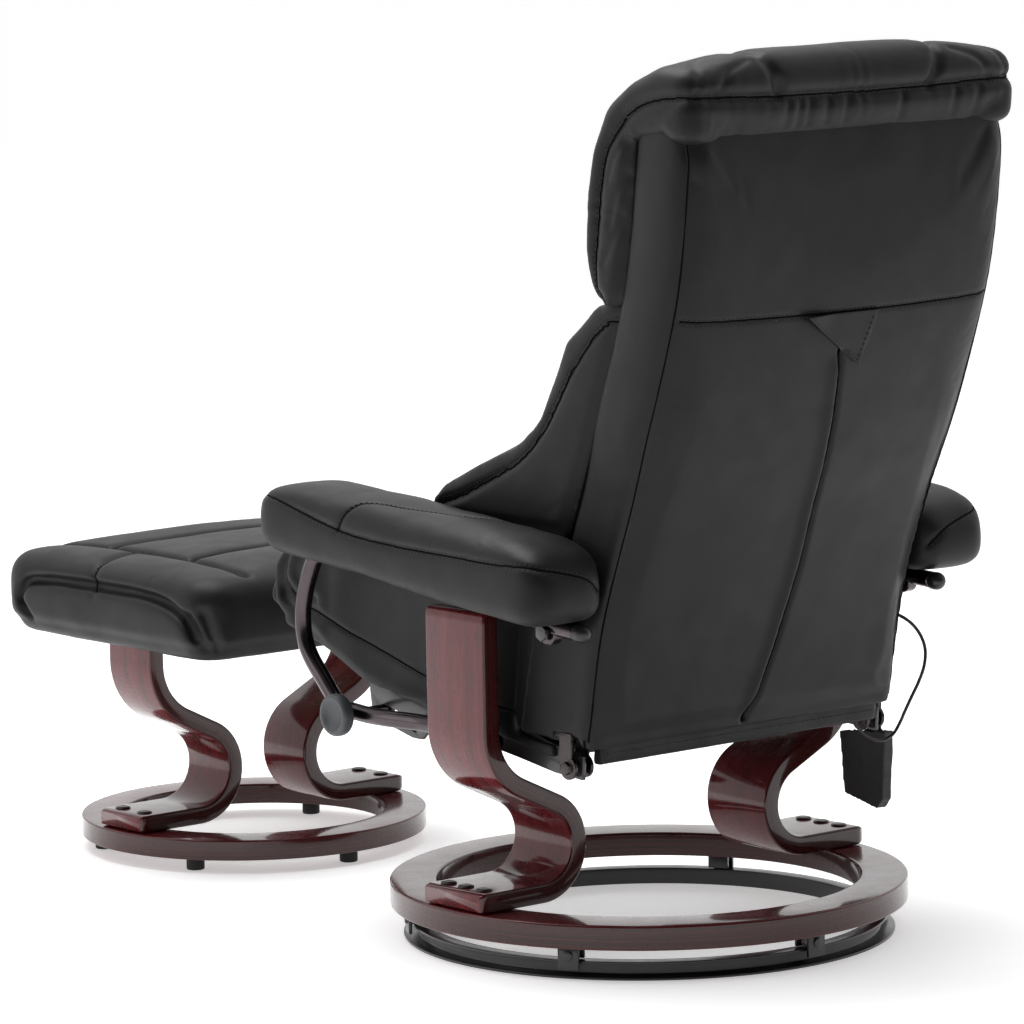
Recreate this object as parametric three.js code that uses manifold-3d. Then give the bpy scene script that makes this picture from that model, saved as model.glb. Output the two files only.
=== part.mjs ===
// Reclining massage chair on a swivel ring base, with its footstool.
// Millimetres, +Z up. The chair faces -Y and the sitter's left is +X. Every sub-part is drawn about the
// vertical axis of the chair's ring, and the finished group is then moved along Y, so that the origin is
// at the bottom centre of the whole set's bounding box.
import * as THREE from 'three';
import { mergeVertices } from 'three/addons/utils/BufferGeometryUtils.js';
import Module from 'manifold-3d';

const wasm = await Module();
wasm.setup();

// ---------------------------------------------------------------- driving dimensions
const GAP = 0.3;                                   // clearance between pieces that touch

const RAIL = { rOut: 280, rTop: 272, rWeb: 263, rIn: 254, height: 19, flange: 3 };
const RING = { rOut: 295, rIn: 241.5, zLow: 36, zTop: 64, edge: 2.5 };
const BRACKET = { count: 6, firstDeg: 30, width: 24, plate: 4, rOuter: 275.5, rInner: 256, zFoot: 10 };
const ROLLER = { r: 6.5, bore: 2.4, axle: 2, rMid: 267.7, length: 14 };

const LEG = { xUp: 269.5, xFoot: 197.4, rFoot: 51.5, lean: 25.4, rKnee: 73.9, thick: 22,
  width: 100, xEnd: 289.5, zTop: 398 };
const ARM = { xIn: 234, xOut: 342, round: 18, corner: 38, yFront: -288, yRear: 215 };
const TUBE = { r: 9.5, x: 266, xLow: 246.3 };
const PIVOT = { y: 148, z: 388, pin: 5, eye: 14 };             // back frame on the side tubes
const HINGE = { y: 133.5, z: 232, pin: 4, ear: 13 };           // seat rail on the back frame
const CLAMP = { y: -200, z: 258, pin: 4 };                     // hand wheel screw
const RECLINE_DEG = 22;
const KNOB = { r: 24, depth: 20, xBack: 277 };

const HALF = 233;                                  // half width of the upholstered seat and back
const BOX_DEPTH = 80;                              // depth of the boxed back frame
const PANEL = 20;                                  // thickness of the padded rear panel
const SIDE_IN = 198;                               // inner face of the side bolsters
const UPRIGHT = { xIn: 176, xOut: 196, near: 34, far: 54 };
const RAILS = { xIn: 218, xOut: 223 };             // steel seat rails, inside the side fabric

const STOOL = { y: -738, rOut: 213, rIn: 163, zLow: 16, zTop: 41, halfX: 240, halfY: 208, padY: 18 };
const STOOL_LEG = { xUp: 174, xFoot: 112, rFoot: 54, lean: 26.5, rKnee: 75.1, thick: 21,
  width: 84, xEnd: 204, zTop: 276.5 };

// ---------------------------------------------------------------- colours
const material = (color, roughness, metalness) =>
  new THREE.MeshStandardMaterial({ color, roughness, metalness });
const MAT = {
  leather: material(0x2b2b2d, 0.45, 0),
  wood: material(0x5a2a2c, 0.25, 0),
  blackSteel: material(0x1b1b1e, 0.4, 0.8),
  gunmetal: material(0x3a3436, 0.25, 0.9),
  greyPlastic: material(0x50565a, 0.5, 0),
  blackPlastic: material(0x151517, 0.5, 0),
  zinc: material(0x9a9a9c, 0.4, 0.9),
  plywood: material(0xb08c5c, 0.7, 0),
  cloth: material(0x161616, 0.9, 0),
};

// ---------------------------------------------------------------- solid helpers
// Booleans give a geometry with shared vertices and no normals, which needs no merging.
const toSolid = (geometry) => {
  let merged = geometry;
  if (geometry.attributes.normal) {
    const plain = geometry.clone();
    plain.deleteAttribute('normal');
    plain.deleteAttribute('uv');
    merged = mergeVertices(plain, 1e-3);
  }
  return new wasm.Manifold(new wasm.Mesh({
    numProp: 3,
    vertProperties: new Float32Array(merged.attributes.position.array),
    triVerts: new Uint32Array(merged.index.array),
  }));
};

const toGeometry = (solid) => {
  const mesh = solid.getMesh();
  const geometry = new THREE.BufferGeometry();
  geometry.setAttribute('position', new THREE.BufferAttribute(mesh.vertProperties, 3));
  geometry.setIndex(new THREE.BufferAttribute(mesh.triVerts, 1));
  return geometry;
};

const join = (...parts) => toGeometry(parts.map(toSolid).reduce((all, part) => all.add(part)));
const cut = (body, ...tools) => toGeometry(
  tools.map(toSolid).reduce((left, tool) => left.subtract(tool), toSolid(body)));

const flipX = (geometry) => toGeometry(toSolid(geometry).mirror([1, 0, 0]));

const outline = (points) => new THREE.Shape(points.map(([a, b]) => new THREE.Vector2(a, b)));

const box = (x, y, z) => {
  const geometry = new THREE.BoxGeometry(x[1] - x[0], y[1] - y[0], z[1] - z[0]);
  return geometry.translate((x[0] + x[1]) / 2, (y[0] + y[1]) / 2, (z[0] + z[1]) / 2);
};

const extrudeSettings = (depth, round, steps = 3) => ({
  depth: depth - 2 * round,
  bevelEnabled: round > 0,
  bevelThickness: round,
  bevelSize: round,
  bevelOffset: -round,
  bevelSegments: steps,
  curveSegments: 12,
});

// A side profile of [y, z] points, extruded from x0 to x1.
const alongX = (shape, x0, x1, round = 0, steps = 3) => {
  const geometry = new THREE.ExtrudeGeometry(shape, extrudeSettings(x1 - x0, round, steps));
  const turn = new THREE.Matrix4().makeBasis(
    new THREE.Vector3(0, 1, 0), new THREE.Vector3(0, 0, 1), new THREE.Vector3(1, 0, 0));
  return geometry.translate(0, 0, round).applyMatrix4(turn).translate(x0, 0, 0);
};

// A front profile of [x, z] points, extruded from y0 to y1.
const alongY = (shape, y0, y1) => {
  const geometry = new THREE.ExtrudeGeometry(shape, extrudeSettings(y1 - y0, 0));
  return geometry.rotateX(Math.PI / 2).translate(0, y1, 0);
};

// A cylinder whose axis runs along X, from x0 to x1.
const pinX = (radius, x0, x1, y, z, sides = 24) => {
  const geometry = new THREE.CylinderGeometry(radius, radius, x1 - x0, sides);
  return geometry.rotateZ(Math.PI / 2).translate((x0 + x1) / 2, y, z);
};

// A cylinder that stands on z0.
const post = (radius, x, y, z0, z1, sides = 24) => {
  const geometry = new THREE.CylinderGeometry(radius, radius, z1 - z0, sides);
  return geometry.rotateX(Math.PI / 2).translate(x, y, (z0 + z1) / 2);
};

// A ring or turned part from a closed [radius, z] profile about the Z axis.
const turned = (profile, segments) => {
  const points = [...profile, profile[0]].map(([r, z]) => new THREE.Vector2(r, z));
  return new THREE.LatheGeometry(points, segments).rotateX(Math.PI / 2);
};

// A round bar along a smooth curve through [x, y, z] points.
const bar = (points, radius, steps, sides = 12) => {
  const curve = new THREE.CatmullRomCurve3(
    points.map((p) => new THREE.Vector3(...p)), false, 'centripetal');
  const section = outline(Array.from({ length: sides }, (_, i) => {
    const angle = (2 * Math.PI * i) / sides;
    return [radius * Math.cos(angle), radius * Math.sin(angle)];
  }));
  return new THREE.ExtrudeGeometry(section, { steps, extrudePath: curve, bevelEnabled: false });
};

// The outline of a strip of the given thickness about a centre line of [a, b] points.
const strip = (line, thickness) => {
  const side = (sign) => line.map(([a, b], i) => {
    const before = line[Math.max(i - 1, 0)];
    const after = line[Math.min(i + 1, line.length - 1)];
    const run = Math.hypot(after[0] - before[0], after[1] - before[1]);
    const normal = [(before[1] - after[1]) / run, (after[0] - before[0]) / run];
    return [a + sign * normal[0] * thickness / 2, b + sign * normal[1] * thickness / 2];
  });
  return [...side(-1), ...side(1).reverse()];
};

const arc = (cx, cz, radius, fromDeg, toDeg, steps) => Array.from({ length: steps + 1 }, (_, i) => {
  const angle = THREE.MathUtils.degToRad(fromDeg + ((toDeg - fromDeg) * i) / steps);
  return [cx + radius * Math.cos(angle), cz + radius * Math.sin(angle)];
});

// ---------------------------------------------------------------- the model and its groups
const model = new THREE.Group();
const stoolGroup = new THREE.Group();
stoolGroup.position.set(0, STOOL.y, 0);
model.add(stoolGroup);

const add = (name, geometry, mat, group = model) => {
  const mesh = new THREE.Mesh(geometry, mat);
  mesh.name = name;
  group.add(mesh);
  return mesh;
};

// ---------------------------------------------------------------- swivel base
// Floor ring: a rolled steel channel, open outwards, whose top flange is the rollers' track.
const floorRing = () => turned([
  [RAIL.rIn, 0], [RAIL.rOut, 0], [RAIL.rOut, RAIL.flange], [RAIL.rWeb, RAIL.flange + 1],
  [RAIL.rWeb, RAIL.height - RAIL.flange], [RAIL.rTop, RAIL.height - RAIL.flange],
  [RAIL.rTop, RAIL.height], [RAIL.rIn, RAIL.height],
], 64);

const plainRing = ({ rOut, rIn, zLow, zTop }, edge, segments) => turned([
  [rIn, zLow], [rOut - edge, zLow], [rOut, zLow + edge], [rOut, zTop - edge],
  [rOut - edge, zTop], [rIn + edge, zTop], [rIn, zTop - edge],
], segments);

// Ring bracket, drawn on the +X axis: a saddle under the wooden ring that holds the roller's axle and
// hooks down over the channel with its outer plate.
const rollerZ = RAIL.height + ROLLER.r + GAP / 2;
const ringBracket = () => {
  const { width, plate, rOuter, rInner, zFoot } = BRACKET;
  const halfWidth = width / 2;
  const across = [-halfWidth, halfWidth];
  const top = RING.zLow - GAP;
  const saddle = alongY(outline([
    [rInner, RAIL.height + 1], [rInner + 4, RAIL.height + 1], [rInner + 4, top - 3],
    [rOuter, top - 3], [rOuter, zFoot], [rOuter + plate, zFoot], [rOuter + plate, top], [rInner, top],
  ]), ...across);
  const axle = pinX(ROLLER.axle, rInner + 2, rOuter + 1, 0, rollerZ, 16);
  const head = pinX(5.5, rOuter + plate - 1, rOuter + plate + 2.5, 0, rollerZ, 20);
  return join(saddle, axle, head);
};

const roller = () => turned([
  [ROLLER.bore, -ROLLER.length / 2], [ROLLER.r, -ROLLER.length / 2],
  [ROLLER.r, ROLLER.length / 2], [ROLLER.bore, ROLLER.length / 2],
], 24).rotateY(Math.PI / 2).translate(ROLLER.rMid, 0, rollerZ);

add('floor_ring', floorRing(), MAT.blackSteel);
add('wood_ring', plainRing(RING, RING.edge, 64), MAT.wood);
for (let i = 0; i < BRACKET.count; i += 1) {
  const angle = THREE.MathUtils.degToRad(BRACKET.firstDeg + (360 / BRACKET.count) * i);
  add(`ring_bracket_${i + 1}`, ringBracket(), MAT.blackSteel).rotation.z = angle;
  add(`roller_${i + 1}`, roller(), MAT.greyPlastic).rotation.z = angle;
}

// ---------------------------------------------------------------- bent plywood legs
// Centre line of an S-shaped leg: along the ring, round the foot bend, up the lean, round the knee
// and straight up.
const legLine = ({ xUp, xFoot, rFoot, lean, rKnee, thick, xEnd, zTop }, zRing) => {
  const slope = THREE.MathUtils.degToRad(lean);
  const zFoot = zRing + GAP + thick / 2;
  const foot = arc(xFoot, zFoot + rFoot, rFoot, 270, 90 + lean, 14);
  const [x1, z1] = foot[foot.length - 1];
  const run = xUp - x1 - rKnee * (1 - Math.sin(slope));
  const z2 = z1 + run * Math.tan(slope);
  const kneeZ = z2 + rKnee * Math.cos(slope);
  const knee = arc(xUp - rKnee, kneeZ, rKnee, lean - 90, 0, 8);
  return [[xEnd, zFoot], ...foot, ...knee, [xUp, zTop]];
};

const woodLeg = (spec, zRing, screws) => {
  const body = alongY(outline(strip(legLine(spec, zRing), spec.thick)),
    -spec.width / 2, spec.width / 2);
  const zCap = zRing + GAP + spec.thick;
  const caps = screws.map((y) => post(9, spec.xEnd - 20, y, zCap - 2, zCap + 2.5, 20));
  return join(body, ...caps);
};

const chairLeg = woodLeg(LEG, RING.zTop, [-30, 0, 30]);
add('leg_left', chairLeg, MAT.wood);
add('leg_right', flipX(chairLeg), MAT.wood);

// ---------------------------------------------------------------- side tubes
// The tube's upper run lies in a groove under the armrest, its front bend is the loop in front of the
// seat, and its lower run is fixed to the inner face of the leg.
const TUBE_LINE = [
  [TUBE.x, 192, 392], [TUBE.x, 160, 394], [TUBE.x, 49, 409], [TUBE.x, -60, 423], [TUBE.x, -170, 437],
  [TUBE.x, -225, 443], [TUBE.x, -256, 434], [TUBE.x, -274, 408], [TUBE.x, -288, 362],
  [TUBE.x, -282, 325], [TUBE.x, -250, 288], [TUBE.x, -222, 264], [TUBE.x - 2, -190, 258.5],
  [TUBE.x - 6, -150, 257], [TUBE.xLow + 2, -100, 256], [TUBE.xLow, -60, 254.5], [TUBE.xLow, 30, 249],
];

const sideTube = () => {
  const tube = bar(TUBE_LINE, TUBE.r, 42, 10);
  const eye = pinX(PIVOT.eye, TUBE.x - 7, TUBE.x + 7, PIVOT.y, PIVOT.z);
  const screw = pinX(CLAMP.pin, RAILS.xIn - 9, KNOB.xBack + 9, CLAMP.y, CLAMP.z, 16);
  const nut = pinX(8, RAILS.xIn - 9, RAILS.xIn - 2, CLAMP.y, CLAMP.z, 6);
  const bore = pinX(PIVOT.pin + GAP, TUBE.x - 20, TUBE.x + 20, PIVOT.y, PIVOT.z);
  return cut(join(tube, eye, screw, nut), bore);
};

// Rounded plug in the open rear end of the tube.
const tubeEnd = () => {
  const profile = [[0, 0], [10, 0], [10, 6], [9, 11], [6.5, 14.5], [3, 16.5], [0, 17]];
  const plug = turned(profile, 20).rotateX(-Math.PI / 2);
  return plug.translate(TUBE.x, TUBE_LINE[0][1] + 1, TUBE_LINE[0][2] - 0.5);
};

const tubeLeft = sideTube();
add('side_tube_left', tubeLeft, MAT.gunmetal);
add('side_tube_right', flipX(tubeLeft), MAT.gunmetal);
add('tube_end_left', tubeEnd(), MAT.blackPlastic);
add('tube_end_right', flipX(tubeEnd()), MAT.blackPlastic);

// ---------------------------------------------------------------- armrests
const ARM_PROFILE = [
  [-260, 441], [-279, 455], [-287, 480], [-281, 502], [-260, 515], [-225, 519], [-184, 517],
  [-78, 511], [-17, 505], [80, 498], [160, 490], [193, 477], [210, 454], [214, 430], [206, 408],
  [186, 401], [120, 406], [22, 415], [-104, 431], [-212, 438],
];
const armrest = () => {
  const { xIn, xOut, round, corner, yFront, yRear } = ARM;
  const block = alongX(outline(ARM_PROFILE), xIn, xOut, round);
  const plan = new THREE.Shape();
  plan.absarc(xOut - corner, yRear - corner, corner, 0, Math.PI / 2);
  plan.absarc(xIn + corner, yRear - corner, corner, Math.PI / 2, Math.PI);
  plan.absarc(xIn + corner, yFront + corner, corner, Math.PI, Math.PI * 1.5);
  plan.absarc(xOut - corner, yFront + corner, corner, Math.PI * 1.5, Math.PI * 2);
  const column = new THREE.ExtrudeGeometry(plan, { depth: 300, bevelEnabled: false, curveSegments: 6 });
  const pad = toGeometry(toSolid(block).intersect(toSolid(column.translate(0, 0, 300))));
  const groove = bar(TUBE_LINE.slice(0, 10), TUBE.r + 2, 24, 8);
  const legTop = box([LEG.xUp - LEG.thick / 2 - 1, LEG.xUp + LEG.thick / 2 + 1],
    [-LEG.width / 2 - 1, LEG.width / 2 + 1], [380, LEG.zTop + 1]);
  const [x, y, z] = TUBE_LINE[0];
  const endRoom = bar([[x, y - 10, z], [x, y + 25, z]], TUBE.r + 3, 1, 8);
  return cut(pad, groove, endRoom, legTop);
};
add('armrest_left', armrest(), MAT.leather);
add('armrest_right', flipX(armrest()), MAT.leather);

// ---------------------------------------------------------------- hand wheel
const handWheel = () => {
  const { r, depth } = KNOB;
  const bore = CLAMP.pin + GAP;
  const profile = [
    [bore, 0], [9, 0], [10, 3], [r - 4, 4], [r, 7.5], [r, depth - 5], [r - 1.5, depth - 1.5],
    [r - 5, depth], [r - 7, depth - 0.5], [9, depth - 6], [0, depth - 7.5], [0, 10], [bore, 10],
  ];
  return turned(profile, 32).rotateY(Math.PI / 2).translate(KNOB.xBack, CLAMP.y, CLAMP.z);
};
add('hand_wheel', handWheel(), MAT.greyPlastic);

// ---------------------------------------------------------------- back
// Rear face of the back in side view, and the same curve moved forwards by a depth.
const rearCurve = new THREE.SplineCurve([
  [162, 250], [187, 378], [213, 455], [265, 584], [304, 690], [325, 760], [339, 843], [347, 931],
].map(([y, z]) => new THREE.Vector2(y, z)));

const rearLine = (depth, steps = 12) => rearCurve.getPoints(steps).map((point, i) => {
  const tangent = rearCurve.getTangent(i / steps);
  return [point.x - tangent.y * depth, point.y + tangent.x * depth];
});

// A layer of the back between two depths behind its front, cut off level at zLow and zTop.
const layer = (near, far, zLow, zTop, x0, x1) => {
  const band = alongX(outline([...rearLine(near), ...rearLine(far).reverse()]), x0, x1);
  const window = box([x0 - 1, x1 + 1], [-200, 500], [zLow, zTop]);
  return toGeometry(toSolid(band).intersect(toSolid(window)));
};

const backPanel = () => layer(0, PANEL, 256, 930, -HALF, HALF);

// Side bolster: the boxed side of the back, flared forwards at its lower end where it meets the seat.
const FLARE = [[50, 272], [120, 272], [150, 470], [98, 470], [83, 416], [77, 385]];
const sideBolster = () => {
  const frameSide = layer(PANEL + GAP, BOX_DEPTH, 272, 930, SIDE_IN, HALF);
  const flare = alongX(outline(FLARE), SIDE_IN, HALF);
  return cut(join(frameSide, flare), pinX(12, 150, 300, PIVOT.y, PIVOT.z));
};

const upright = () => {
  const { xIn, xOut, near, far } = UPRIGHT;
  const post1 = layer(near, far, 262, 900, xIn, xOut);
  const pivotPin = pinX(PIVOT.pin, xOut - 3, TUBE.x + 12, PIVOT.y, PIVOT.z);
  const pivotBoss = pinX(10, xOut - 3, TUBE.x - 10.5, PIVOT.y, PIVOT.z);
  const pivotHead = pinX(9, TUBE.x + 10.5, TUBE.x + 15, PIVOT.y, PIVOT.z, 6);
  const boss = box([xIn, xOut], [PIVOT.y - 40, PIVOT.y + 10], [PIVOT.z - 12, PIVOT.z + 12]);
  const shoe = box([xIn, HALF], [HINGE.y - 24, HINGE.y + 6], [264, 270]);
  const ears = [[206, 210], [229, HALF]].map(([x0, x1]) => join(
    box([x0, x1], [HINGE.y - HINGE.ear, HINGE.y + 6], [HINGE.z, 266]),
    pinX(HINGE.ear, x0, x1, HINGE.y, HINGE.z)));
  const hingePin = pinX(HINGE.pin, 203, HALF + 4, HINGE.y, HINGE.z, 16);
  const heads = pinX(7.5, HALF - 0.5, HALF + 5, HINGE.y, HINGE.z, 6);
  return join(post1, pivotPin, pivotBoss, pivotHead, boss, shoe, ...ears, hingePin, heads);
};

// A frame that stands on the rear curve at a fraction of its length: -Y is the way to the front.
const onBack = (mesh, fraction) => {
  const point = rearCurve.getPoint(fraction);
  const tangent = rearCurve.getTangent(fraction);
  mesh.position.set(0, point.x, point.y);
  mesh.rotation.x = Math.atan2(tangent.y, tangent.x) - Math.PI / 2;
};
const CROSSBAR = { near: UPRIGHT.near + 3, far: UPRIGHT.far - 3, half: 20, low: 0.3, high: 0.8 };
const crossbar = () => box([GAP - UPRIGHT.xIn, UPRIGHT.xIn - GAP], [-CROSSBAR.far, -CROSSBAR.near],
  [-CROSSBAR.half, CROSSBAR.half]);

add('back_panel', backPanel(), MAT.leather);
add('back_bolster_left', sideBolster(), MAT.leather);
add('back_bolster_right', flipX(sideBolster()), MAT.leather);
add('back_upright_left', upright(), MAT.blackSteel);
add('back_upright_right', flipX(upright()), MAT.blackSteel);
onBack(add('back_crossbar_low', crossbar(), MAT.blackSteel), CROSSBAR.low);
onBack(add('back_crossbar_high', crossbar(), MAT.blackSteel), CROSSBAR.high);

// The room that the boxed frame takes behind the front cushions, with its clearance.
const frameRoom = () => layer(-60, BOX_DEPTH + GAP, 200, 930 + GAP, -300, 300);
const flareRoom = (x0, x1) => alongX(outline(FLARE.map(([y, z]) => [y - 1, z + (z > 400 ? 1 : 0)])), x0, x1);

// Head cushion: in front of the boxed frame, and rolled over its top to the rear.
const headCushion = () => {
  const block = alongX(outline([
    [262, 744], [203, 744], [185, 772], [180, 806], [185, 857], [197, 910], [220, 955], [258, 990],
    [303, 1008], [338, 1006], [350, 985], [348, 931],
  ]), -238, 238, 14);
  return cut(block, frameRoom());
};

// Lumbar cushion: between the bolsters in front, with a wing on each side that lies over the armrest.
const lumbarCushion = () => {
  const core = alongX(outline([
    [94, 437], [55, 470], [64, 540], [96, 620], [140, 700], [190, 742], [260, 742], [180, 480],
    [140, 437],
  ]), -HALF, HALF, 8, 2);
  const wing = alongX(outline([
    [223, 739], [177, 695], [100, 604], [48, 577], [-12, 545], [-60, 520], [-70, 510], [-60, 506],
    [12, 503], [120, 497], [150, 560], [200, 690],
  ]), 160, HALF, 3, 1);
  const sides = [flareRoom(SIDE_IN - 1, 300), flareRoom(-300, 1 - SIDE_IN)];
  return cut(join(core, wing, flipX(wing)), frameRoom(), ...sides);
};
add('head_cushion', headCushion(), MAT.leather);
add('lumbar_cushion', lumbarCushion(), MAT.leather);

// ---------------------------------------------------------------- seat
const SEAT_PROFILE = [
  [-304, 317], [-222, 281], [-80, 263], [50, 243], [108, 234], [108, 256], [42, 262], [70, 385],
  [76, 418], [0, 428], [-150, 438], [-280, 441], [-335, 428], [-352, 405], [-362, 368], [-345, 335],
];

// Path of the clamp screw in the seat's own frame while the back reclines.
const clampPath = () => Array.from({ length: 9 }, (_, i) => {
  const turn = THREE.MathUtils.degToRad((RECLINE_DEG * i) / 8);
  const armY = HINGE.y - PIVOT.y;
  const armZ = HINGE.z - PIVOT.z;
  const moveY = armY * Math.cos(turn) + armZ * Math.sin(turn) - armY;
  const moveZ = armZ * Math.cos(turn) - armY * Math.sin(turn) - armZ;
  return [CLAMP.y - moveY, CLAMP.z - moveZ];
});

const RAIL_PROFILE = [
  [-222, 276], [-218, 250], [-208, 244], [-146, 230], [-130, 230], [-120, 240], [-105, 250],
  [40, 231], [100, 222], [146, 219], [148, 245], [100, 253], [40, 268], [-80, 284], [-214, 304],
  [-222, 300],
];
const seatRail = () => {
  const plate = alongX(outline(RAIL_PROFILE), RAILS.xIn, RAILS.xOut);
  const path = clampPath();
  const reach = CLAMP.pin + GAP + 0.2;
  const slot = alongX(outline(strip(path, 2 * reach)), 200, 240);
  const ends = [path[0], path[path.length - 1]].map(([y, z]) => pinX(reach, 200, 240, y, z));
  const hinge = pinX(HINGE.pin + GAP, 200, 240, HINGE.y, HINGE.z);
  return cut(plate, slot, ...ends, hinge);
};

const SEAT_BARS = { front: -205, rear: -25, height: 28, depth: 25 };
const seatBar = (y) => {
  const zTop = 300 - 0.17 * (y + 205);
  return box([-RAILS.xIn + GAP, RAILS.xIn - GAP], [y, y + SEAT_BARS.depth],
    [zTop - SEAT_BARS.height, zTop]);
};

// A fastened-on cell of the seat's underside, cut a little larger than what it holds.
const cell = (x, y, z) => box([x[0] - 1, x[1] + 1], [y[0] - 1, y[1] + 1], [z[0] - 60, z[1] + 1]);

const MOTOR = { r: 12, length: 40, weight: 10.5 };
const CONTROL = { x: [-150, -60], y: [-105, -50], z: [268, 294] };

const seatCushion = () => {
  const pad = alongX(outline(SEAT_PROFILE), -HALF, HALF, 6, 2);
  const groove = (side) => alongX(outline([
    [-226, 200], [150, 200], [150, 256], [42, 271], [-80, 288], [-214, 308], [-226, 308],
  ]), side - 3.5, side + 3.5);
  const railX = (RAILS.xIn + RAILS.xOut) / 2;
  const bars = [SEAT_BARS.front, SEAT_BARS.rear].map((y) => {
    const zTop = 300 - 0.17 * (y + 205);
    return cell([-RAILS.xIn, RAILS.xIn], [y, y + SEAT_BARS.depth], [zTop - 30, zTop]);
  });
  const motorCell = cell([-36, 48], [-150, -116], [262, 300]);
  return cut(pad, groove(railX), groove(-railX), ...bars, motorCell,
    cell(CONTROL.x, CONTROL.y, CONTROL.z));
};
add('seat_cushion', seatCushion(), MAT.leather);
add('seat_rail_left', seatRail(), MAT.blackSteel);
add('seat_rail_right', flipX(seatRail()), MAT.blackSteel);
add('seat_bar_front', seatBar(SEAT_BARS.front), MAT.blackSteel);
add('seat_bar_rear', seatBar(SEAT_BARS.rear), MAT.blackSteel);

// ---------------------------------------------------------------- massage motors and controls
// A motor can with its foot, drawn along X about the origin, and the eccentric weight on its shaft.
const motorCan = (foot) => {
  const can = pinX(MOTOR.r, -MOTOR.length / 2, MOTOR.length / 2, 0, 0);
  const bore = pinX(2.3, MOTOR.length / 2 - 10, MOTOR.length / 2 + 1, 0, 0, 12);
  return cut(join(can, box([-14, 14], ...foot)), bore);
};
const eccentricWeight = () => {
  const lobe = alongX(outline([
    [-MOTOR.weight, 0], ...arc(0, 0, MOTOR.weight, 180, 360, 10), [4, 0], ...arc(0, 0, 4, 0, 180, 6),
  ]), MOTOR.length / 2 + 1.5, MOTOR.length / 2 + 13.5);
  return join(lobe, pinX(2, MOTOR.length / 2 - 8, MOTOR.length / 2 + 3, 0, 0, 12));
};

const addMotor = (name, foot, place) => {
  place(add(`motor_${name}`, motorCan(foot), MAT.zinc));
  place(add(`motor_weight_${name}`, eccentricWeight(), MAT.zinc));
};
const MOTOR_DEPTH = CROSSBAR.far + MOTOR.r + 2;
const onCrossbar = (fraction) => (mesh) => {
  mesh.geometry.translate(0, -MOTOR_DEPTH, 0);
  onBack(mesh, fraction);
};
addMotor('lumbar', [[8, 13.5], [-10, 10]], onCrossbar(CROSSBAR.low));
addMotor('shoulder', [[8, 13.5], [-10, 10]], onCrossbar(CROSSBAR.high));
addMotor('seat', [[-12, 12], [8, 14]], (mesh) => mesh.position.set(0, -133, 284));

const controlBox = () => {
  const body = box(CONTROL.x, CONTROL.y, CONTROL.z);
  const inlet = post(4, CONTROL.x[0] + 20, CONTROL.y[1] - 12, CONTROL.z[0] - 1, CONTROL.z[0] + 10, 16);
  return cut(body, inlet);
};
add('control_box', controlBox(), MAT.blackPlastic);

// Pouch on the right, hung from the side tube by its strap, with the hand control in it.
const POUCH = { x: [-257, -241], y: [62, 137], zTop: 214, zLow: 128, wall: 1.6 };
const pouch = () => {
  const { x, y, zTop, zLow, wall } = POUCH;
  const bag = alongX(outline([
    [y[0] + 8, zLow + 6], [y[1] - 14, zLow - 6], [y[1] - 4, zLow + 6], [y[1], zTop], [y[0], zTop - 8],
  ]), ...x);
  const inside = alongX(outline([
    [y[0] + 10, zLow + 9], [y[1] - 16, zLow - 1], [y[1] - 6, zLow + 8], [y[1] - 2, zTop + 20],
    [y[0] + 2, zTop + 20],
  ]), x[0] + wall, x[1] - wall);
  const strap = box([x[0] + 0.2, x[0] + 2], [92, 118], [zTop - 30, 380]);
  return join(cut(bag, inside), strap);
};
const handControl = () => {
  const y = [76, 124];
  return alongX(outline([
    [y[0] + 2, 141], [y[1] - 2, 137], [y[1], 143], [y[1], 192], [y[1] - 5, 197], [y[0] + 5, 197],
    [y[0], 192],
  ]), POUCH.x[0] + POUCH.wall + 0.8, POUCH.x[1] - POUCH.wall - 0.8);
};
add('pouch', pouch(), MAT.cloth);
add('hand_control', handControl(), MAT.blackPlastic);

// Control lead: out of the back's right side, round in a loose loop and in again under the back.
const LEAD_LINE = [
  [-236, 118, 352], [-244, 128, 353], [-257, 140, 349], [-269, 152, 339], [-277, 160, 325],
  [-280, 165, 309], [-277, 167, 291], [-270, 165, 272], [-261, 161, 253], [-254, 158, 238],
  [-248, 155, 224], [-240, 153, 213], [-228, 150, 207], [-214, 147, 209], [-202, 144, 217],
  [-192, 142, 230], [-186, 141, 250],
];
add('control_lead', bar(LEAD_LINE, 1.9, 50, 8), MAT.blackPlastic);

// ---------------------------------------------------------------- footstool
const stoolLeg = woodLeg(STOOL_LEG, STOOL.zTop, [-22, 22]);
const BOARD = { halfX: 190, halfY: 160, zLow: 277, zTop: 289 };
const stoolBoard = () => box([-BOARD.halfX, BOARD.halfX], [STOOL.padY - BOARD.halfY,
  STOOL.padY + BOARD.halfY], [BOARD.zLow, BOARD.zTop]);
const stoolCushion = () => {
  const { halfX, halfY, padY } = STOOL;
  const corner = 45;
  const plan = new THREE.Shape();
  plan.absarc(halfX - corner, halfY - corner, corner, 0, Math.PI / 2);
  plan.absarc(corner - halfX, halfY - corner, corner, Math.PI / 2, Math.PI);
  plan.absarc(corner - halfX, corner - halfY, corner, Math.PI, Math.PI * 1.5);
  plan.absarc(halfX - corner, corner - halfY, corner, Math.PI * 1.5, Math.PI * 2);
  const settings = { ...extrudeSettings(88, 26, 3), curveSegments: 5 };
  const pad = new THREE.ExtrudeGeometry(plan, settings).translate(0, padY, 282 + 26);
  return cut(pad, box([-BOARD.halfX - 2, BOARD.halfX + 2],
    [padY - BOARD.halfY - 2, padY + BOARD.halfY + 2], [270, BOARD.zTop + 1]));
};

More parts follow.
